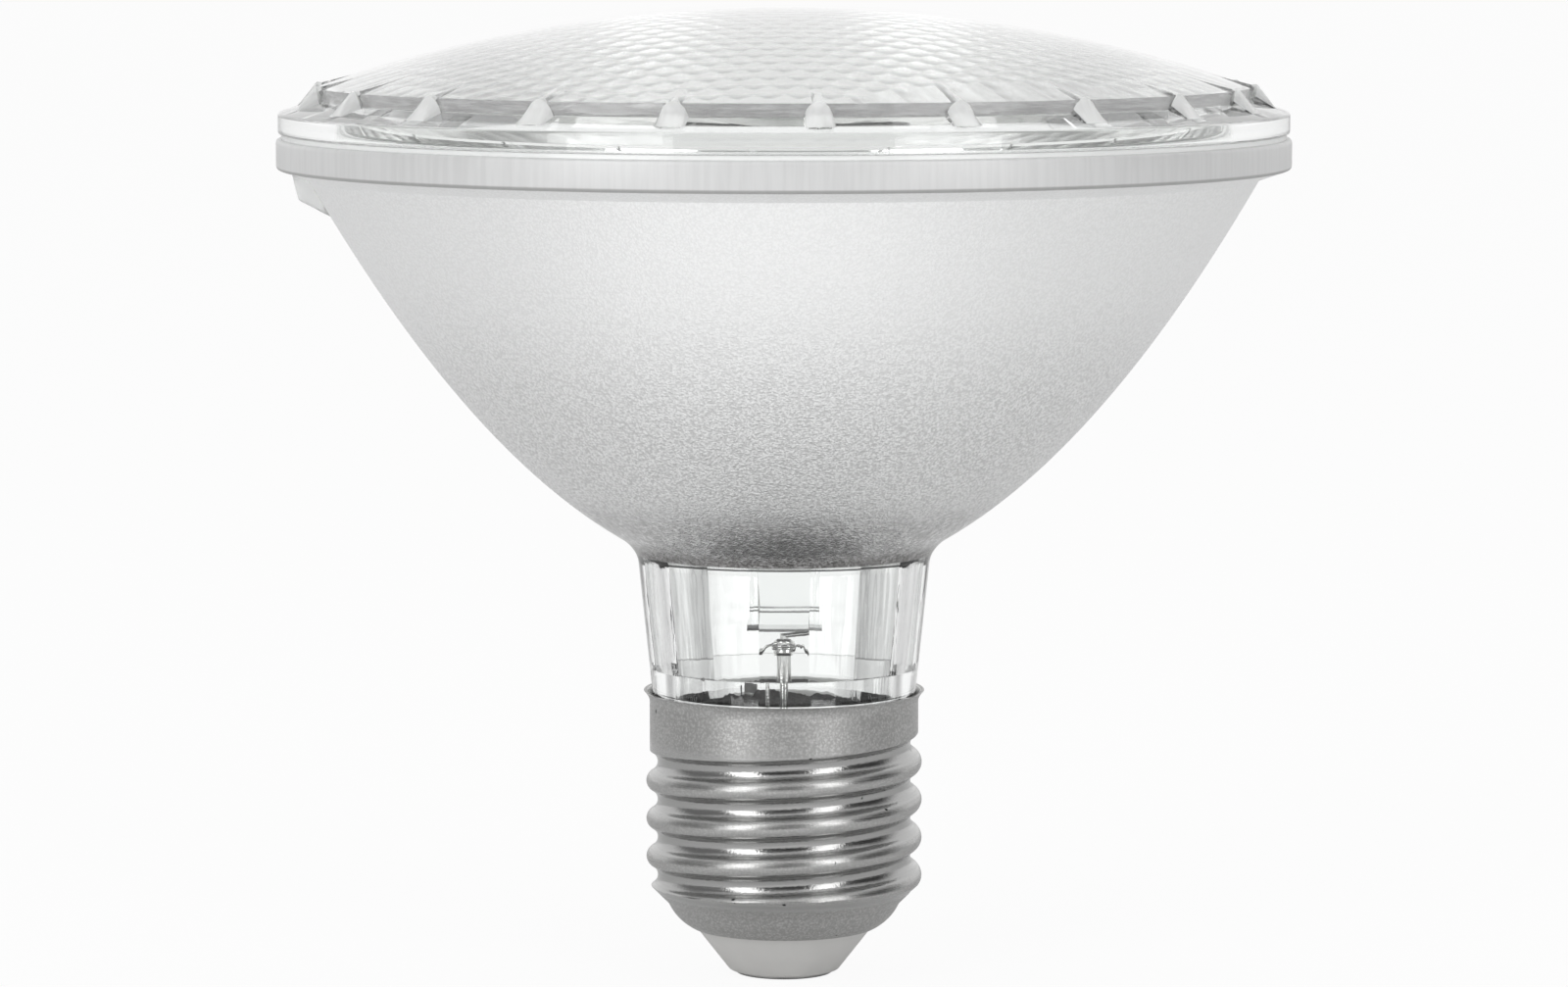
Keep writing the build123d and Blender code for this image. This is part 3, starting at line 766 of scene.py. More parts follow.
def dark_cement(colours):
    """Rough dark cement."""
    return patchy_finish(
        "dark_cement", solid(colours.cement), solid(colours.cement, strength=3.0),
        grains=1400.0, rough=(0.45, 0.75), blend=(0.35, 0.75), relief=(0.7, 0.4 * MM), Metallic=0.0,
    )


def finish_node(node, material):
    """Gives a CAD node that stays in view its finish."""
    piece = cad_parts[node]
    piece.data.materials.clear()
    piece.data.materials.append(material)


# Front lens


def lens_angles(sizes):
    """Angles round the lens, closer together at the lugs."""
    sector = TURN / sizes.lug_count
    near, at_lug, elsewhere = math.radians(2.4), 23, 18
    fine = np.linspace(-near, near, at_lug)
    coarse = np.linspace(near, sector - near, elsewhere)[1:-1]
    one = np.append(fine, coarse)
    return np.concatenate([sizes.lug_first + k * sector + one for k in range(sizes.lug_count)])


def lens_levels(sizes):
    """Radii and heights of the lens that follow from its sizes."""
    slope = math.tan(sizes.ring_slope)
    ring_z = sizes.base_z + sizes.edge_height + sizes.dome_setback * slope
    return SimpleNamespace(
        dome_r=sizes.radius - sizes.dome_setback,
        bore_r=sizes.radius - sizes.flange,
        slope=slope,
        ring_z=ring_z,
        edge_z=ring_z + sizes.dome_step,
        centre_z=sizes.apex_z - sizes.dome_radius,
    )


# Finishes of the lens, by slot
CLEAR, WALL, LUG, PEBBLE = range(4)


def lens_skin(sizes, angles):
    """Rows of the lens's outer skin, from near the apex to the bonded face's inner edge, with its lugs."""
    at = lens_levels(sizes)
    dome_rows, wall_rows, first_share = 15, 4, 0.03
    foot_round, head_reach, head_round, edge_round = 0.5 * MM, 0.55 * MM, 0.25 * MM, 0.3 * MM
    tilt = np.arcsin(np.linspace(first_share, 1, dome_rows) * at.dome_r / sizes.dome_radius)
    dome = np.column_stack(
        [sizes.dome_radius * np.sin(tilt), at.centre_z + sizes.dome_radius * np.cos(tilt)]
    )
    foot = (at.dome_r + sizes.lug_reach, at.ring_z - sizes.lug_reach * at.slope)
    plain = rounded([dome[-1], (at.dome_r, at.ring_z), foot], foot_round, steps=7)
    head = (at.dome_r + head_reach, at.edge_z + sizes.lug_rise)
    wedge = rounded([dome[-1] + (0, sizes.lug_rise), head, foot], head_round, steps=7)
    sector = TURN / sizes.lug_count
    off = np.abs((angles - sizes.lug_first + sector / 2) % sector - sector / 2)
    rows = [turned_grid(dome[:-1], angles)]
    kinds = [np.full((len(dome) - 1, len(angles)), CLEAR)]
    for k, (flat, lug) in enumerate(zip(plain, wedge)):
        down = k / (len(plain) - 1)
        half = (sizes.lug_top + (sizes.lug_foot - sizes.lug_top) * down) / 2
        share = np.sqrt(np.clip(1 - (off * flat[0] / half) ** 2, 0, 1))[None, :] * (down < 1)
        radius, height = (flat[i] + (lug[i] - flat[i]) * share for i in (0, 1))
        rows.append(round_axis(radius, angles, height))
        kinds.append(np.where(share > 0.1, LUG, WALL if k < wall_rows else CLEAR))
    edge = rounded(
        [foot, (sizes.radius, sizes.base_z + sizes.edge_height), (sizes.radius, sizes.base_z),
         (at.bore_r, sizes.base_z)],
        edge_round, steps=5,
    )
    rows.append(turned_grid(edge[1:], angles))
    kinds.append(np.full((len(edge) - 1, len(angles)), CLEAR))
    return np.vstack(rows), np.vstack(kinds)


def pebble_points(sizes, radius):
    """Flat points of the pebbled face: each pebble is a hexagon of small triangles."""
    steps = 4
    step = sizes.pebble_pitch / math.sqrt(3) / steps
    reach = int(radius / step) + 2
    a, b = np.meshgrid(np.arange(-reach, reach + 1), np.arange(-reach, reach + 1))
    x = step * math.sqrt(3) / 2 * b
    y = step * (a + b / 2)
    keep = np.hypot(x, y) < radius - 0.6 * step
    return np.column_stack([x[keep], y[keep]])


def pebble_bulge(sizes, flat):
    """How far each point of the inner face bulges, from its distance to the nearest pebble's middle."""
    pitch = sizes.pebble_pitch
    row = pitch * math.sqrt(3) / 2
    best = np.full(len(flat), np.inf)
    for shift in (0.0, 0.5):
        u = (flat[:, 0] / pitch - shift + 0.5) % 1 - 0.5
        v = (flat[:, 1] / row - 2 * shift) / 2
        v = (v + 0.5) % 1 - 0.5
        best = np.minimum(best, np.hypot(u * pitch, v * 2 * row))
    reach = pitch / math.sqrt(3)
    return sizes.pebble_height * (1 - (best / reach) ** 2)


class LAMP_OT_front_lens(Operator):
    """Presses the front lens: smooth dome, lugs, and pebbles on its inner face"""

    bl_idname = "lamp_make.front_lens"
    bl_label = "Front lens"

    def execute(self, context):
        sizes, colours = context.scene.lamp_lens, context.scene.lamp_colours
        at, angles = lens_levels(sizes), lens_angles(sizes)
        columns = len(angles)
        skin, kinds = lens_skin(sizes, angles)
        rows = len(skin)
        # The inner face is a net of triangles between the flange's bore and the pebbles' points
        rim = [Vector((at.bore_r * math.cos(t), at.bore_r * math.sin(t))) for t in angles]
        inner = [Vector(p) for p in pebble_points(sizes, at.bore_r)]
        edges = [(k, (k + 1) % columns) for k in range(columns)]
        flat, _, faces, origin, _, _ = delaunay_2d_cdt(rim + inner, edges, [], 1, 1e-9)
        flat = np.array([tuple(p) for p in flat])
        if len(flat) != columns + len(inner):
            raise RuntimeError("the pebbled face lost points")
        sphere = sizes.dome_radius - sizes.thickness
        away = np.hypot(flat[:, 0], flat[:, 1])
        plain_edge = 0.5 * MM
        fade = smooth_step((at.bore_r - away) / plain_edge)
        height = at.centre_z + np.sqrt(sphere**2 - away**2) - pebble_bulge(sizes, flat) * fade
        vertices = np.vstack([skin.reshape(-1, 3), [(0, 0, sizes.apex_z)], np.column_stack([flat, height])])
        apex, first_inner, last = rows * columns, rows * columns + 1, (rows - 1) * columns
        order = np.array([o[0] for o in origin])
        on_rim = order < columns
        rim_point = np.zeros(columns, int)
        rim_point[order[on_rim]] = first_inner + np.flatnonzero(on_rim)
        made = [tuple(f[::-1]) for f in grid_faces(rows, columns, closed=False)]
        made += [(apex, k, after) for k, after in edges]
        made += [tuple(first_inner + v for v in f[::-1]) for f in faces]
        made += [(last + after, last + k, rim_point[k], rim_point[after]) for k, after in edges]
        clear, pebbled = np.full(columns, CLEAR), np.full(len(faces), PEBBLE)
        slots = np.concatenate([kinds[:-1].ravel(), clear, pebbled, clear])
        finishes = [
            clear_glass("lens_glass", colours, ripple=0.02),
            shaded_wall_glass("lens_wall", colours),
            clear_glass("lens_lugs", colours, ripple=0.3, roughness=0.25, clear=0.45),
            clear_glass("lens_pebbles", colours, ripple=0.02, roughness=0.2),
        ]
        piece = new_piece("front_lens_pressed", vertices, made, finishes, crease=40.0, slots=slots)
        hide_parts("front_lens")
        return {"FINISHED"}


# Reflector


def vertex_height(sizes):
    """Height of the paraboloid's vertex."""
    return sizes.land_z - (sizes.rim_radius - sizes.rim_land) ** 2 / (4 * sizes.focal_length)


def on_bowl(sizes, radius, depth=0.0):
    """Points of the paraboloid at mirror radii, a depth into the glass behind it."""
    radius = np.atleast_1d(radius)
    slant = np.hypot(2 * sizes.focal_length, radius)
    height = vertex_height(sizes) + radius**2 / (4 * sizes.focal_length)
    return np.column_stack(
        [radius + depth * radius / slant, height - depth * 2 * sizes.focal_length / slant]
    )


def mirror_radius_at(sizes, height):
    """The mirror's radius at a height."""
    return math.sqrt(4 * sizes.focal_length * (height - vertex_height(sizes)))


def glass_angles(sizes):
    """Angles round the body, with each facet's corners, and closer together at the key."""
    per_facet, at_key = 22, 33
    even = full_turn(sizes.bore_facets * per_facet)
    near = 1.6 * sizes.key_width / 2 / sizes.rim_radius
    return np.unique(np.round(np.append(even, math.pi + np.linspace(-near, near, at_key)), 6))


def key_share(sizes, angles):
    """1 across the index key and 0 elsewhere, with its short flanks."""
    flank = 0.35 * MM
    off = np.abs((angles % TURN) - math.pi) * (sizes.rim_radius - sizes.key_setback)
    return smooth_step((sizes.key_width / 2 - off) / flank + 0.5)


def neck_levels(sizes):
    """Radii and heights of the neck that follow from its sizes."""
    slope = math.tan(sizes.neck_taper)
    neck_z = sizes.lip_z + sizes.shoulder / 2
    step_z = sizes.lip_z + sizes.bore_step_height
    low_r = sizes.neck_radius + (step_z - neck_z) * slope - sizes.neck_wall
    high_r = sizes.neck_radius + (sizes.seat_z - neck_z) * slope - sizes.neck_wall
    return SimpleNamespace(
        slope=slope, neck_z=neck_z, step_z=step_z, low_r=low_r, high_r=high_r,
        seat_r=high_r + sizes.seat_ledge,
    )


def neck_outline(sizes):
    """The outside of the spigot and neck, the flare into the bowl, and the mirror radius where it ends."""
    at = neck_levels(sizes)
    blend_z = sizes.seat_z - sizes.throat_drop
    blend = (sizes.neck_radius + (blend_z - at.neck_z) * at.slope, blend_z)
    bevel_z = sizes.lip_z - sizes.bevel_drop
    spigot = rounded(
        [
            (sizes.spigot_radius - 1.0 * MM, sizes.spigot_z),
            (sizes.spigot_radius, sizes.spigot_z),
            (sizes.spigot_radius, bevel_z - sizes.shoulder),
            (sizes.neck_radius - sizes.shoulder * at.slope / 2, bevel_z),
            blend,
        ],
        radius=0.3 * MM, steps=5,
    )
    flare_r = at.seat_r + sizes.throat_reach
    end = on_bowl(sizes, flare_r, sizes.bowl_wall)[0]
    bend = flare(blend, (at.slope, 1), end, (2 * sizes.focal_length, flare_r), count=14)
    return joined(spigot[:-1], np.linspace(spigot[-2], blend, num=8)), bend, flare_r


def under_start(sizes):
    """The mirror radius level with the foot of the index key."""
    return mirror_radius_at(sizes, sizes.land_z - sizes.rim_height - sizes.key_height - 0.4 * MM)


def underside_rows(sizes, angles):
    """Rows from the bowl's wall out to the rim's lower edge, along the wall or round the index key."""
    low_z = sizes.land_z - sizes.rim_height
    corner = np.array([sizes.rim_radius, low_z])
    root = on_bowl(sizes, mirror_radius_at(sizes, low_z), sizes.bowl_wall / 2)[0] - (0, sizes.rim_drop)
    wall_points, rows = 90, 24
    radii = np.linspace(under_start(sizes), sizes.rim_radius - sizes.rim_land, wall_points)
    wall = on_bowl(sizes, radii, sizes.bowl_wall)
    slope = (corner[1] - root[1]) / (corner[0] - root[0])
    wall = wall[wall[:, 1] < root[1] + slope * (wall[:, 0] - root[0])]
    plain = joined(wall, rounded([wall[-2], wall[-1], corner], radius=0.2 * MM, steps=6)[:-1])
    outer_r = sizes.rim_radius - sizes.key_setback
    key_foot = (outer_r - sizes.key_lean, low_z - sizes.key_height)
    key = rounded([wall[0], key_foot, (outer_r, low_z), corner], radius=0.5 * MM, steps=6)[:-1]
    spots = np.linspace(0, 1, rows)
    plain, key = along(plain, spots), along(key, spots)
    share = key_share(sizes, angles)[None, :, None]
    return turned_grid(plain, angles) * (1 - share) + turned_grid(key, angles) * share


def facet_rows(sizes, angles):
    """Rows of the faceted bore, from its top down to the step."""
    at = neck_levels(sizes)
    facet = TURN / sizes.bore_facets
    off = (angles + facet / 2) % facet - facet / 2
    flat = math.cos(facet / 2) / np.cos(off)
    share = np.linspace(0, 1, num=8)[:, None]
    radius = (at.high_r + (at.low_r - at.high_r) * share) * flat
    return round_axis(radius, angles, sizes.seat_z + (at.step_z - sizes.seat_z) * share)


class LAMP_OT_reflector(Operator):
    """Presses the glass body: faceted neck, silvered bowl, clear rim and index key"""

    bl_idname = "lamp_make.reflector"
    bl_label = "Reflector"

    def execute(self, context):
        sizes, colours = context.scene.lamp_glass, context.scene.lamp_colours
        angles = glass_angles(sizes)
        at = neck_levels(sizes)
        low_z, land_r = sizes.land_z - sizes.rim_height, sizes.rim_radius - sizes.rim_land
        neck, bend, flare_r = neck_outline(sizes)
        under = underside_rows(sizes, angles)
        bowl_rows, mirror_rows = 34, 40
        bowl = on_bowl(sizes, np.linspace(flare_r, under_start(sizes), bowl_rows)[1:-1], sizes.bowl_wall)
        rim = rounded(
            [(sizes.rim_radius - 1.0 * MM, low_z), (sizes.rim_radius, low_z),
             (sizes.rim_radius, sizes.land_z), (land_r, sizes.land_z)],
            sizes.rim_round, steps=6,
        )[1:-1]
        mirror = on_bowl(sizes, np.linspace(land_r, at.seat_r, mirror_rows))
        seat = np.array([(at.seat_r, sizes.seat_z), (at.high_r + 0.02 * MM, sizes.seat_z)])
        round_r, chamfer = at.low_r - sizes.bore_step, 0.3 * MM
        bore = np.array([
            (round_r, at.step_z), (round_r, sizes.spigot_z + chamfer), (round_r + chamfer, sizes.spigot_z),
        ])
        glass, silver, bright, pale, key = range(5)
        stretches = [
            (turned_grid(neck, angles), glass),
            (turned_grid(bend, angles), silver),
            (turned_grid(bowl, angles), silver),
            (under, silver),
            (turned_grid(rim, angles), pale),
            (turned_grid(mirror, angles), bright),
            (turned_grid(seat, angles), glass),
            (facet_rows(sizes, angles), glass),
            (turned_grid(bore, angles), glass),
        ]
        grid = np.vstack([rows for rows, _ in stretches])
        slots = np.concatenate([np.full((len(rows), len(angles)), kind) for rows, kind in stretches])
        first = len(neck) + len(bend) + len(bowl)
        slots[first:first + len(under), key_share(sizes, angles) > 0.02] = key
        slots[len(neck):len(neck) + CLEAR_ROWS] = glass
        slots[first + len(under) + len(rim) + len(mirror) - 1] = glass
        finishes = [
            clear_glass("neck_glass", colours, ripple=0.05, draw=0.3, facets=sizes.bore_facets),
            silvered_bowl(colours, sizes),
            mirror_coat(colours),
            rim_band(colours, sizes),
            clear_glass("key_glass", colours, ripple=0.1, roughness=0.08, clear=0.5),
        ]
        piece = ring_piece("reflector_pressed", grid, finishes, crease=18.0, slots=slots.ravel())
        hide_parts("reflector")
        return {"FINISHED"}


# Screw cap


def cap_levels(sizes):
    """Radii, heights and angles of the cap that follow from its sizes."""
    mean_r = sizes.crest_radius - sizes.thread_depth / 2
    centre_r = sizes.crest_radius - sizes.thread_depth - sizes.cup_inset - sizes.cup_corner
    edge_turn = math.acos((sizes.cup_edge - centre_r) / sizes.cup_corner)
    centre_z = sizes.edge_z + sizes.cup_corner * math.sin(edge_turn)
    top_r = centre_r + sizes.cup_corner * math.cos(sizes.cup_top)
    thread_z = centre_z - sizes.cup_corner * math.sin(sizes.cup_top) + mean_r - top_r
    return SimpleNamespace(
        mean_r=mean_r, skirt_r=sizes.crest_radius - sizes.skirt_inset, centre=(centre_r, centre_z),
        edge_turn=edge_turn, thread_z=thread_z, skirt_z=thread_z + sizes.thread_length,
    )


def cup_arc(sizes, inset, count):
    """The cup's rounded corner, a depth inside its outer face."""
    at = cap_levels(sizes)
    return arc(at.centre, sizes.cup_corner - inset, -at.edge_turn, -sizes.cup_top, count)


def knuckle(sizes, phase):
    """Height of the thread above its mean radius: round crests that run into equally round roots."""
    quarter, half_depth = sizes.thread_pitch / 4, sizes.thread_depth / 2
    radius = (quarter**2 + half_depth**2) / (2 * half_depth)
    off = np.abs((phase + 0.5) % 1 - 0.5) * sizes.thread_pitch
    reach = np.minimum(off, 2 * quarter - off)
    rise = np.sqrt(radius**2 - reach**2) - radius + half_depth
    return np.where(off < quarter, rise, -rise)


def threaded_radius(sizes, height, angles):
    """Radius of the rolled wall, whose last groove runs out into the skirt along the thread."""
    at, pitch = cap_levels(sizes), sizes.thread_pitch
    phase = (height - at.thread_z - sizes.thread_run_out) / pitch - (angles - sizes.thread_start) / TURN
    turn = phase - np.floor(phase)
    groove_z = height - pitch * (turn - 0.5)
    end_z, fade = at.skirt_z + 0.95 * MM, 0.6 * MM
    here = smooth_step((end_z - groove_z) / fade)
    above = smooth_step((end_z - groove_z - pitch) / fade)
    rolled = at.mean_r + knuckle(sizes, phase)
    top_r = np.where(turn < 0.5, sizes.crest_radius, at.skirt_r + sizes.skirt_inset * above)
    return at.skirt_r + (np.minimum(rolled, top_r) - at.skirt_r) * here


def shell_side(sizes, inset, thread_rows, angles):
    """Points of one face of the shell, from its lower edge to its lip."""
    bend_z = sizes.lip_z - sizes.lip_height
    cup = cup_arc(sizes, inset, count=14)
    height = np.linspace(cup[-1][1], bend_z, thread_rows)[1:, None]
    shoulder = cup[-1][0] + inset + (height - cup[-1][1])
    radius = np.minimum(threaded_radius(sizes, height, angles), shoulder) - inset
    turn = np.linspace(0, 1, LIP_ROWS + 1)[1:, None]
    lip_r = cap_levels(sizes).skirt_r - inset + sizes.lip_flare * turn**2
    lip = np.hstack([lip_r, bend_z + sizes.lip_height * turn])
    wall = round_axis(radius, angles, height)
    return np.vstack([turned_grid(cup, angles), wall, turned_grid(lip, angles)])


class LAMP_OT_screw_shell(Operator):
    """Rolls the screw shell: cup, knuckle thread, skirt and flared lip"""

    bl_idname = "lamp_make.screw_shell"
    bl_label = "Screw shell"

    def execute(self, context):
        sizes, colours = context.scene.lamp_cap, context.scene.lamp_colours
        angles = full_turn(columns=240)
        outer = shell_side(sizes, inset=0.0, thread_rows=190, angles=angles)
        inner = shell_side(sizes, inset=sizes.sheet, thread_rows=90, angles=angles)
        grid = np.vstack([outer, inner[::-1]])
        plated, dull, bright = range(3)
        slots = np.full(grid.shape[:2], plated)
        slots[len(outer):] = dull
        # The lip's inner face takes the metal with painted light
        slots[len(outer):len(outer) + LIP_ROWS + 1] = bright
        finishes = [
            rolled_nickel(colours, sizes),
            dull_inside(colours),
            drawn_metal("lip_inside_painted_light", colours.lip, roughness=0.5),
        ]
        piece = ring_piece("screw_shell_rolled", grid, finishes, crease=50.0, slots=slots.ravel())
        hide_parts("screw_shell")
        return {"FINISHED"}


class LAMP_OT_insulator(Operator):
    """Moulds the insulator and finishes the centre contact"""

    bl_idname = "lamp_make.insulator"
    bl_label = "Insulator and contact"

    def execute(self, context):
        sizes, colours = context.scene.lamp_cap, context.scene.lamp_colours
        waist_r, hole_r = sizes.cup_edge - sizes.waist_inset, 0.55 * MM
        pocket_r, pocket_z = sizes.pocket_radius, sizes.tip_z + sizes.pocket_depth
        tip = rounded(
            [(pocket_r, sizes.tip_z), (sizes.tip_radius, sizes.tip_z), (waist_r, sizes.edge_z - 0.1 * MM)],
            sizes.tip_round, steps=9,
        )
        cup = cup_arc(sizes, sizes.sheet + 0.02 * MM, count=10)
        outline = joined(
            [(hole_r, sizes.crown_z), (hole_r, pocket_z), (pocket_r, pocket_z)],
            tip, [(waist_r, cup[0][1])], cup,
        )
        grid = turned_grid(outline, full_turn(columns=144))
        piece = ring_piece("cap_insulator_moulded", grid, [moulded_insulator(colours)], crease=35.0)
        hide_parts("cap_insulator")
        finish_node("centre_contact", drawn_metal("contact_nickel", colours.nickel, roughness=0.3))
        finish_node("contact_solder", drawn_metal("solder", colours.steel, roughness=0.35))
        return {"FINISHED"}


# Capsule and wiring


class LAMP_OT_capsule(Operator):
    """Finishes the halogen capsule and winds its filament"""

    bl_idname = "lamp_make.capsule"
    bl_label = "Capsule and filament"

    def execute(self, context):
        colours = context.scene.lamp_colours
        foot_z = CAPSULE_LOW.z
        # Heights and reaches of the lines of painted shade across the pinch
        shade_lines = ((foot_z + 0.1 * MM, 0.25 * MM), (foot_z + 1.9 * MM, 0.12 * MM))
        glass = clear_glass("capsule_glass", colours, ripple=0.0, shade_lines=shade_lines, index=1.25)
        finish_node("capsule_envelope", glass)
        finish_node("capsule_clip", drawn_metal("clip_steel", colours.steel, roughness=0.28))
        turns, per_turn, wire_r = 16, 14, 0.14 * MM
        coil_r = (COIL_HIGH.x - COIL_LOW.x) / 2 - wire_r
        share = np.linspace(0, 1, turns * per_turn)
        height = COIL_LOW.z + wire_r + (COIL_HIGH.z - COIL_LOW.z - 2 * wire_r) * share
        path = round_axis(coil_r, TURN * turns * share, height)
        tungsten = drawn_metal("tungsten", colours.tungsten, roughness=0.4)
        piece = tube_piece("filament_coil", path, wire_r, tungsten)
        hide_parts("filament")
        return {"FINISHED"}


def make_knot(finish):
    """The pressed crimp on the centre feed wire, and the thin wire twisted round it."""
    low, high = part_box("centre_crimp")
    radius, middle = (high.x - low.x) / 2, (low.z + high.z) / 2
    feed_low, feed_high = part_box("centre_feed_wire")
    bore_r, dimple_r = (feed_high.x - feed_low.x) / 2 + 0.01 * MM, 0.1 * MM
    outline = rounded(
        [(bore_r, low.z), (0.6 * radius, low.z), (0.66 * radius, low.z + 0.3 * MM), (0.58 * radius, middle),
         (0.66 * radius, high.z - 0.3 * MM), (0.5 * radius, high.z), (dimple_r, high.z)],
        radius=0.2 * MM, steps=4,
    )
    outline = np.vstack([outline, [(dimple_r, high.z - 0.1 * MM), (bore_r, middle)]])
    grid = turned_grid(outline, full_turn(columns=32))
    sleeve = ring_piece("centre_crimp_pressed", grid, [finish], crease=50.0)
    wire_r, steps = 0.11 * MM, 60
    spin = np.linspace(1.2 * math.pi, -4.2 * math.pi, steps)
    rise = np.linspace(middle + 0.35 * MM, middle - 0.3 * MM, steps)
    wraps = round_axis(0.6 * radius + wire_r, spin, rise)
    left, right = (
        [(x * MM, y * MM, middle + z * MM) for x, y, z in points]
        for points in (
            [(-1.55, 0, -3.2), (-1.5, -0.1, -1.4), (-1.1, -0.3, -0.1)],
            [(0.8, -0.5, 0.2), (1.1, -0.3, -0.2), (1.35, -0.1, -0.8)],
        )
    )
    path = np.vstack([
        curve_through([*left, wraps[0]])[:-1], wraps, curve_through([wraps[-1], *right])[1:],
    ])
    return sleeve, tube_piece("crimp_twist", path, wire_r, finish)


class LAMP_OT_wiring(Operator):
    """Finishes the leads, crimps, feed wires, fuse and solder"""

    bl_idname = "lamp_make.wiring"
    bl_label = "Wiring"

    def execute(self, context):
        colours = context.scene.lamp_colours
        wire = drawn_metal("lead_wire", colours.steel, roughness=0.16)
        for node in (
            "filament_lead_short", "filament_lead_long", "side_crimp", "centre_feed_wire", "side_feed_wire",
        ):
            finish_node(node, wire)
        sleeve, twist = make_knot(wire)
        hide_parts("centre_crimp")
        finish_node("side_solder", bpy.data.materials["solder"])
        finish_node("fuse_sleeve", bpy.data.materials["shell_inside"])
        return {"FINISHED"}


def cement_ring(glass, cap, finish):
    """The ring of cement round the spigot, with the uneven top that it set with."""
    angles = full_turn(columns=220)
    inner_r = glass.spigot_radius + 0.01 * MM
    outer_r = cap_levels(cap).skirt_r - cap.sheet - 0.03 * MM
    low_z = glass.lip_z - 3.2 * MM
    wave = sum(np.sin(k * angles + 1.7 * k * k) / k**0.4 for k in (3, 7, 13, 22, 31, 47))
    top = glass.lip_z - 0.55 * MM + 0.2 * MM * wave + 0.3 * MM * np.abs(np.cos(angles)) ** 5
    # Above the foot of the neck's bevel, the cement follows the bevel outwards
    bevel_z = glass.lip_z - glass.bevel_drop - glass.shoulder
    rise = np.maximum(0, top - bevel_z) * (glass.neck_radius - glass.spigot_radius) / glass.shoulder
    crown_r = np.minimum(inner_r + rise, outer_r - 0.2 * MM)
    rows = [
        (inner_r, low_z), (inner_r, np.minimum(bevel_z, top)), (crown_r, top),
        (outer_r - 0.1 * MM, top - 0.1 * MM), (outer_r, top - 0.2 * MM), (outer_r, low_z),
    ]
    grid = np.array([round_axis(radius, angles, height) for radius, height in rows])
    return ring_piece("basing_cement_set", grid, [finish], crease=60.0)


class LAMP_OT_seals(Operator):
    """Fills the lens's bond and the cement between neck and cap"""

    bl_idname = "lamp_make.seals"
    bl_label = "Seal and cement"

    def execute(self, context):
        colours = context.scene.lamp_colours
        adhesive = clear_glass("seal_adhesive", colours, ripple=0.3, roughness=0.12, clear=0.0)
        finish_node("lens_seal", adhesive)
        piece = cement_ring(context.scene.lamp_glass, context.scene.lamp_cap, dark_cement(colours))
        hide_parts("basing_cement")
        return {"FINISHED"}


# Stage

WHITE = (1, 1, 1, 1)
FLOOR_HALF = 15.0
# From the middle of the floor's painted pool of light to the lamp, and the scale of distances from that
# middle
POOL_SHIFT, POOL_SCALE, POOL_REACH = (0.01, 0.115, 0), (1.15, 1, 1), 0.15
# Painted shadow: the pool is dimmer close to the lamp, over a patch that is narrow from side to side
PAINTED_SHADOW_SCALE, PAINTED_SHADOW_REACH = (2.5, 1, 1), 0.08
# Side, and power in watts, of each soft light
SOFTBOXES = {"softbox_left": (-1, 4.3), "softbox_right": (1, 3.5)}
SOFTBOX_TURN, SOFTBOX_AWAY, SOFTBOX_HEIGHT = math.radians(39), 0.9, 0.52
SOFTBOX_WIDTH, SOFTBOX_TALL = 0.42, 1.0
CAMERA_PLACE, CAMERA_TILT = (0, -0.545, 0.10337), math.radians(90 - 6.03)
CAMERA_FOCAL, CAMERA_SENSOR = 132.9, 36.0


def shown_white(tree, to_eye, to_metal, to_glass):
    """How much plain white a ray sees: shares for the camera, in metal and through glass."""
    path = put(tree, "ShaderNodeLightPath")
    shares = {"Is Camera Ray": to_eye, "Is Glossy Ray": to_metal, "Is Transmission Ray": to_glass}
    white = 0.0
    for kind, share in shares.items():
        white = calc(tree, "MAXIMUM", times(tree, path.outputs[kind], share), white)
    return white


def make_floor(colours):
    """A wide pale floor that reads as white and keeps the lamp's shadow; metal sees on it a painted pool of
    light with painted shadow close to the lamp.
    """
    mesh = bpy.data.meshes.new("floor")
    corners = [(x * FLOOR_HALF, y * FLOOR_HALF, 0) for x, y in ((-1, -1), (1, -1), (1, 1), (-1, 1))]
    mesh.from_pydata(corners, [], [(0, 1, 2, 3)])
    floor = bpy.data.objects.new("floor", mesh)
    floor.location.z = CAD_LOW.z
    bpy.context.scene.collection.objects.link(floor)
    material, tree, shader = new_finish("pale_floor", Roughness=0.9, Base_Color=solid(colours.floor))
    glow = put(tree, "ShaderNodeEmission", {"Color": WHITE, "Strength": 1.0})
    where = spot_of(tree)
    from_pool = vector_calc(tree, "MULTIPLY", vector_calc(tree, "ADD", where, POOL_SHIFT)[0], POOL_SCALE)
    from_lamp = vector_calc(tree, "MULTIPLY", where, PAINTED_SHADOW_SCALE)
    away, near = (vector_calc(tree, "LENGTH", spot[0])["Value"] for spot in (from_pool, from_lamp))
    behind = split(tree, vector_calc(tree, "NORMALIZE", where)[0])["Y"]
    # Painted pool of light, with painted shadow close to the lamp, which only metal sees
    pool = times(
        tree, between(tree, away, 0.0, POOL_REACH, 1.35, 0.03),
        between(tree, near, 0.0, PAINTED_SHADOW_REACH, 0.25, 1.0),
    )
    through = between(tree, behind, 0.3, 0.75, 0.05, 0.95)
    seen = shown_white(tree, to_eye=0.93, to_metal=pool, to_glass=through)
    mix = put(tree, "ShaderNodeMixShader", {0: seen, 1: shader.outputs[0], 2: glow.outputs[0]})
    feed(tree, tree.nodes["Material Output"], Surface=mix.outputs[0])
    mesh.materials.append(material)


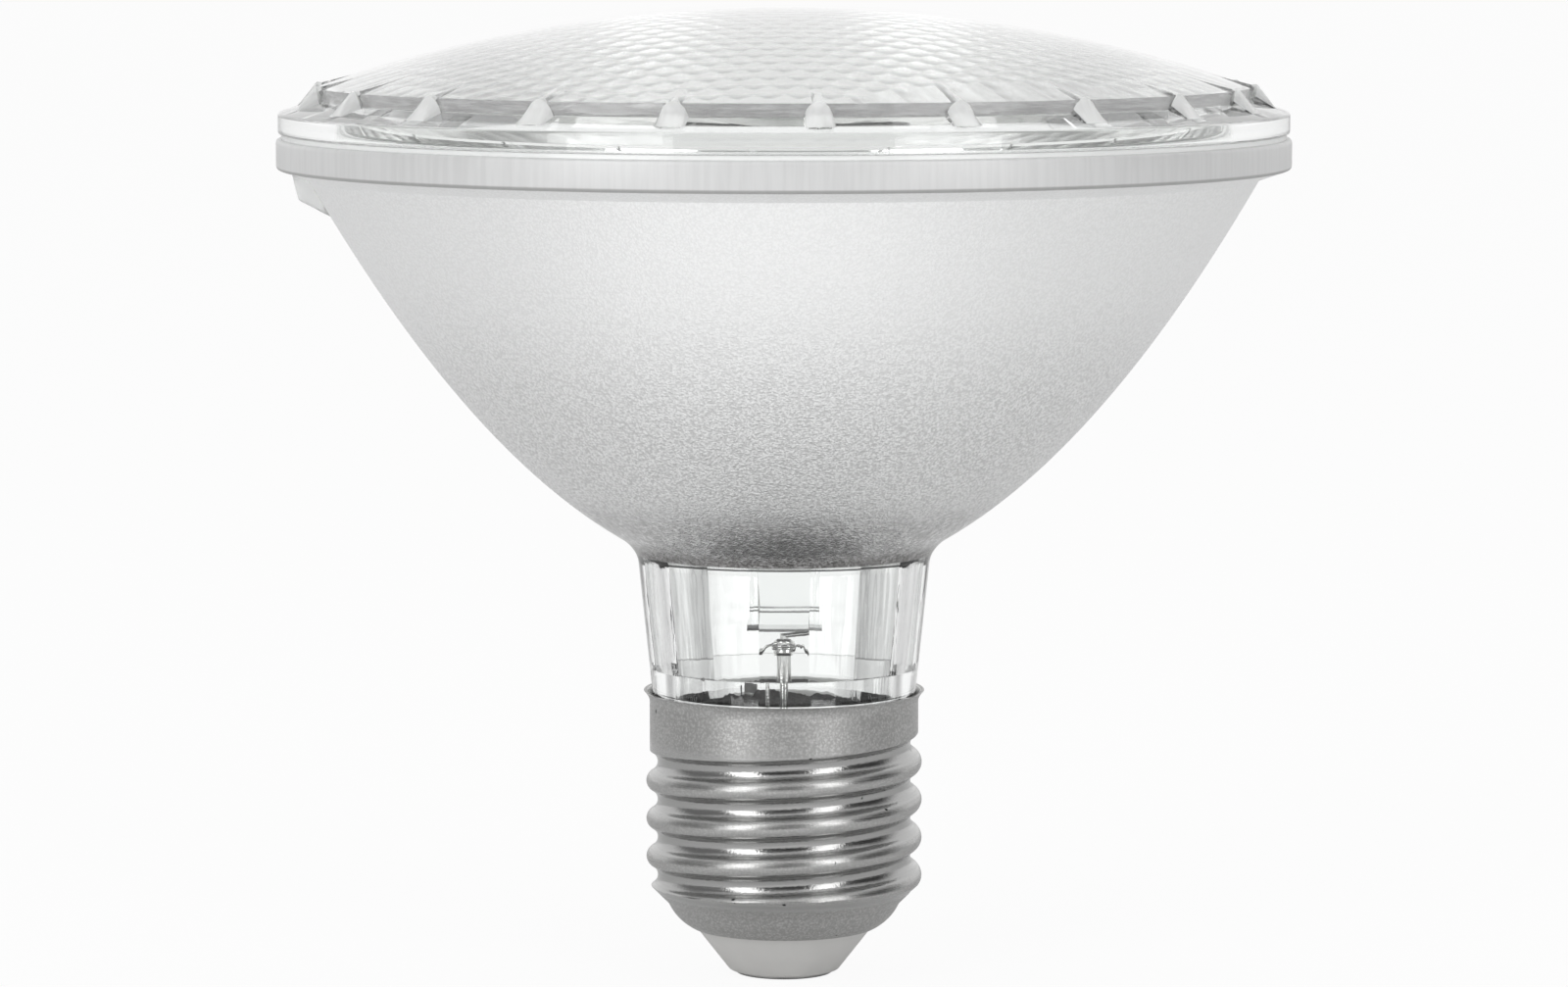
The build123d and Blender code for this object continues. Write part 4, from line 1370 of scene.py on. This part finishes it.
def make_world():
    """A white room that is dimmer on the camera's side, and plain white to the eye."""
    world = bpy.data.worlds.new("studio")
    bpy.context.scene.world = world
    world.use_nodes = True
    tree = world.node_tree
    way = split(tree, put(tree, "ShaderNodeTexCoord").outputs["Generated"])
    white = shown_white(tree, to_eye=1.0, to_metal=0.05, to_glass=0.35)
    # White behind the lamp, a dim glow on its left and a bright ceiling
    for part, low, high, to_low, to_high in (
        ("Y", 0.1, 0.6, 0.07, 1.0), ("X", -0.95, -0.4, 0.28, 0.0), ("Z", 0.42, 0.85, 0.0, 0.85),
    ):
        white = calc(tree, "MAXIMUM", white, between(tree, way[part], low, high, to_low, to_high))
    feed(tree, tree.nodes["Background"], Color=WHITE, Strength=white)


def make_softbox(name, side, power):
    """A tall soft light, turned about the lamp from the camera's side."""
    light = bpy.data.lights.new(name, "AREA")
    light.shape = "RECTANGLE"
    light.size, light.size_y = SOFTBOX_WIDTH, SOFTBOX_TALL
    light.energy = power
    lamp = bpy.data.objects.new(name, light)
    bpy.context.scene.collection.objects.link(lamp)
    turn = side * SOFTBOX_TURN
    lamp.location = (SOFTBOX_AWAY * math.sin(turn), -SOFTBOX_AWAY * math.cos(turn), SOFTBOX_HEIGHT)
    lamp.rotation_euler = (math.pi / 2, 0, turn)


class LAMP_OT_stage(Operator):
    """Sets the floor, the soft lights, the white room and the camera"""

    bl_idname = "lamp_make.stage"
    bl_label = "Stage"

    def execute(self, context):
        scene = context.scene
        make_floor(scene.lamp_colours)
        make_world()
        for name, (side, power) in SOFTBOXES.items():
            make_softbox(name, side, power)
        data = bpy.data.cameras.new("camera")
        data.lens, data.sensor_width = CAMERA_FOCAL, CAMERA_SENSOR
        data.clip_start, data.clip_end = 0.01, 50.0
        camera = bpy.data.objects.new("camera", data)
        scene.collection.objects.link(camera)
        camera.location = CAMERA_PLACE
        camera.rotation_euler = (CAMERA_TILT, 0, 0)
        scene.camera = camera
        scene.view_settings.view_transform = "Standard"
        scene.cycles.max_bounces = 24
        scene.cycles.transmission_bounces = 24
        scene.cycles.glossy_bounces = 12
        return {"FINISHED"}


class LAMP_PT_sidebar(Panel):
    """Lists the lamp's pieces and their sizes"""

    bl_label = "Reflector lamp"
    bl_idname = "LAMP_PT_sidebar"
    bl_space_type = "VIEW_3D"
    bl_region_type = "UI"
    bl_category = "Lamp"

    def draw(self, context):
        for operator in OPERATORS:
            self.layout.operator(operator.bl_idname)
        for label in GROUPS:
            group = getattr(context.scene, label)
            box = self.layout.box()
            for key in group.__annotations__:
                box.prop(group, key)


GROUPS = {
    "lamp_glass": LampGlassSizes,
    "lamp_lens": LampLensSizes,
    "lamp_cap": LampCapSizes,
    "lamp_colours": LampColours,
}
OPERATORS = (
    LAMP_OT_stage,
    LAMP_OT_reflector,
    LAMP_OT_front_lens,
    LAMP_OT_screw_shell,
    LAMP_OT_insulator,
    LAMP_OT_capsule,
    LAMP_OT_wiring,
    LAMP_OT_seals,
)


def register():
    for kind in (*GROUPS.values(), *OPERATORS, LAMP_PT_sidebar):
        bpy.utils.register_class(kind)
    for label, kind in GROUPS.items():
        setattr(bpy.types.Scene, label, PointerProperty(type=kind))


def unregister():
    for label in GROUPS:
        delattr(bpy.types.Scene, label)
    for kind in (LAMP_PT_sidebar, *reversed(OPERATORS), *reversed(list(GROUPS.values()))):
        bpy.utils.unregister_class(kind)


def main():
    register()
    bpy.ops.lamp_make.stage()
    bpy.ops.lamp_make.reflector()
    bpy.ops.lamp_make.front_lens()
    bpy.ops.lamp_make.screw_shell()
    bpy.ops.lamp_make.insulator()
    bpy.ops.lamp_make.capsule()
    bpy.ops.lamp_make.wiring()
    bpy.ops.lamp_make.seals()


if __name__ == "__main__":
    main()
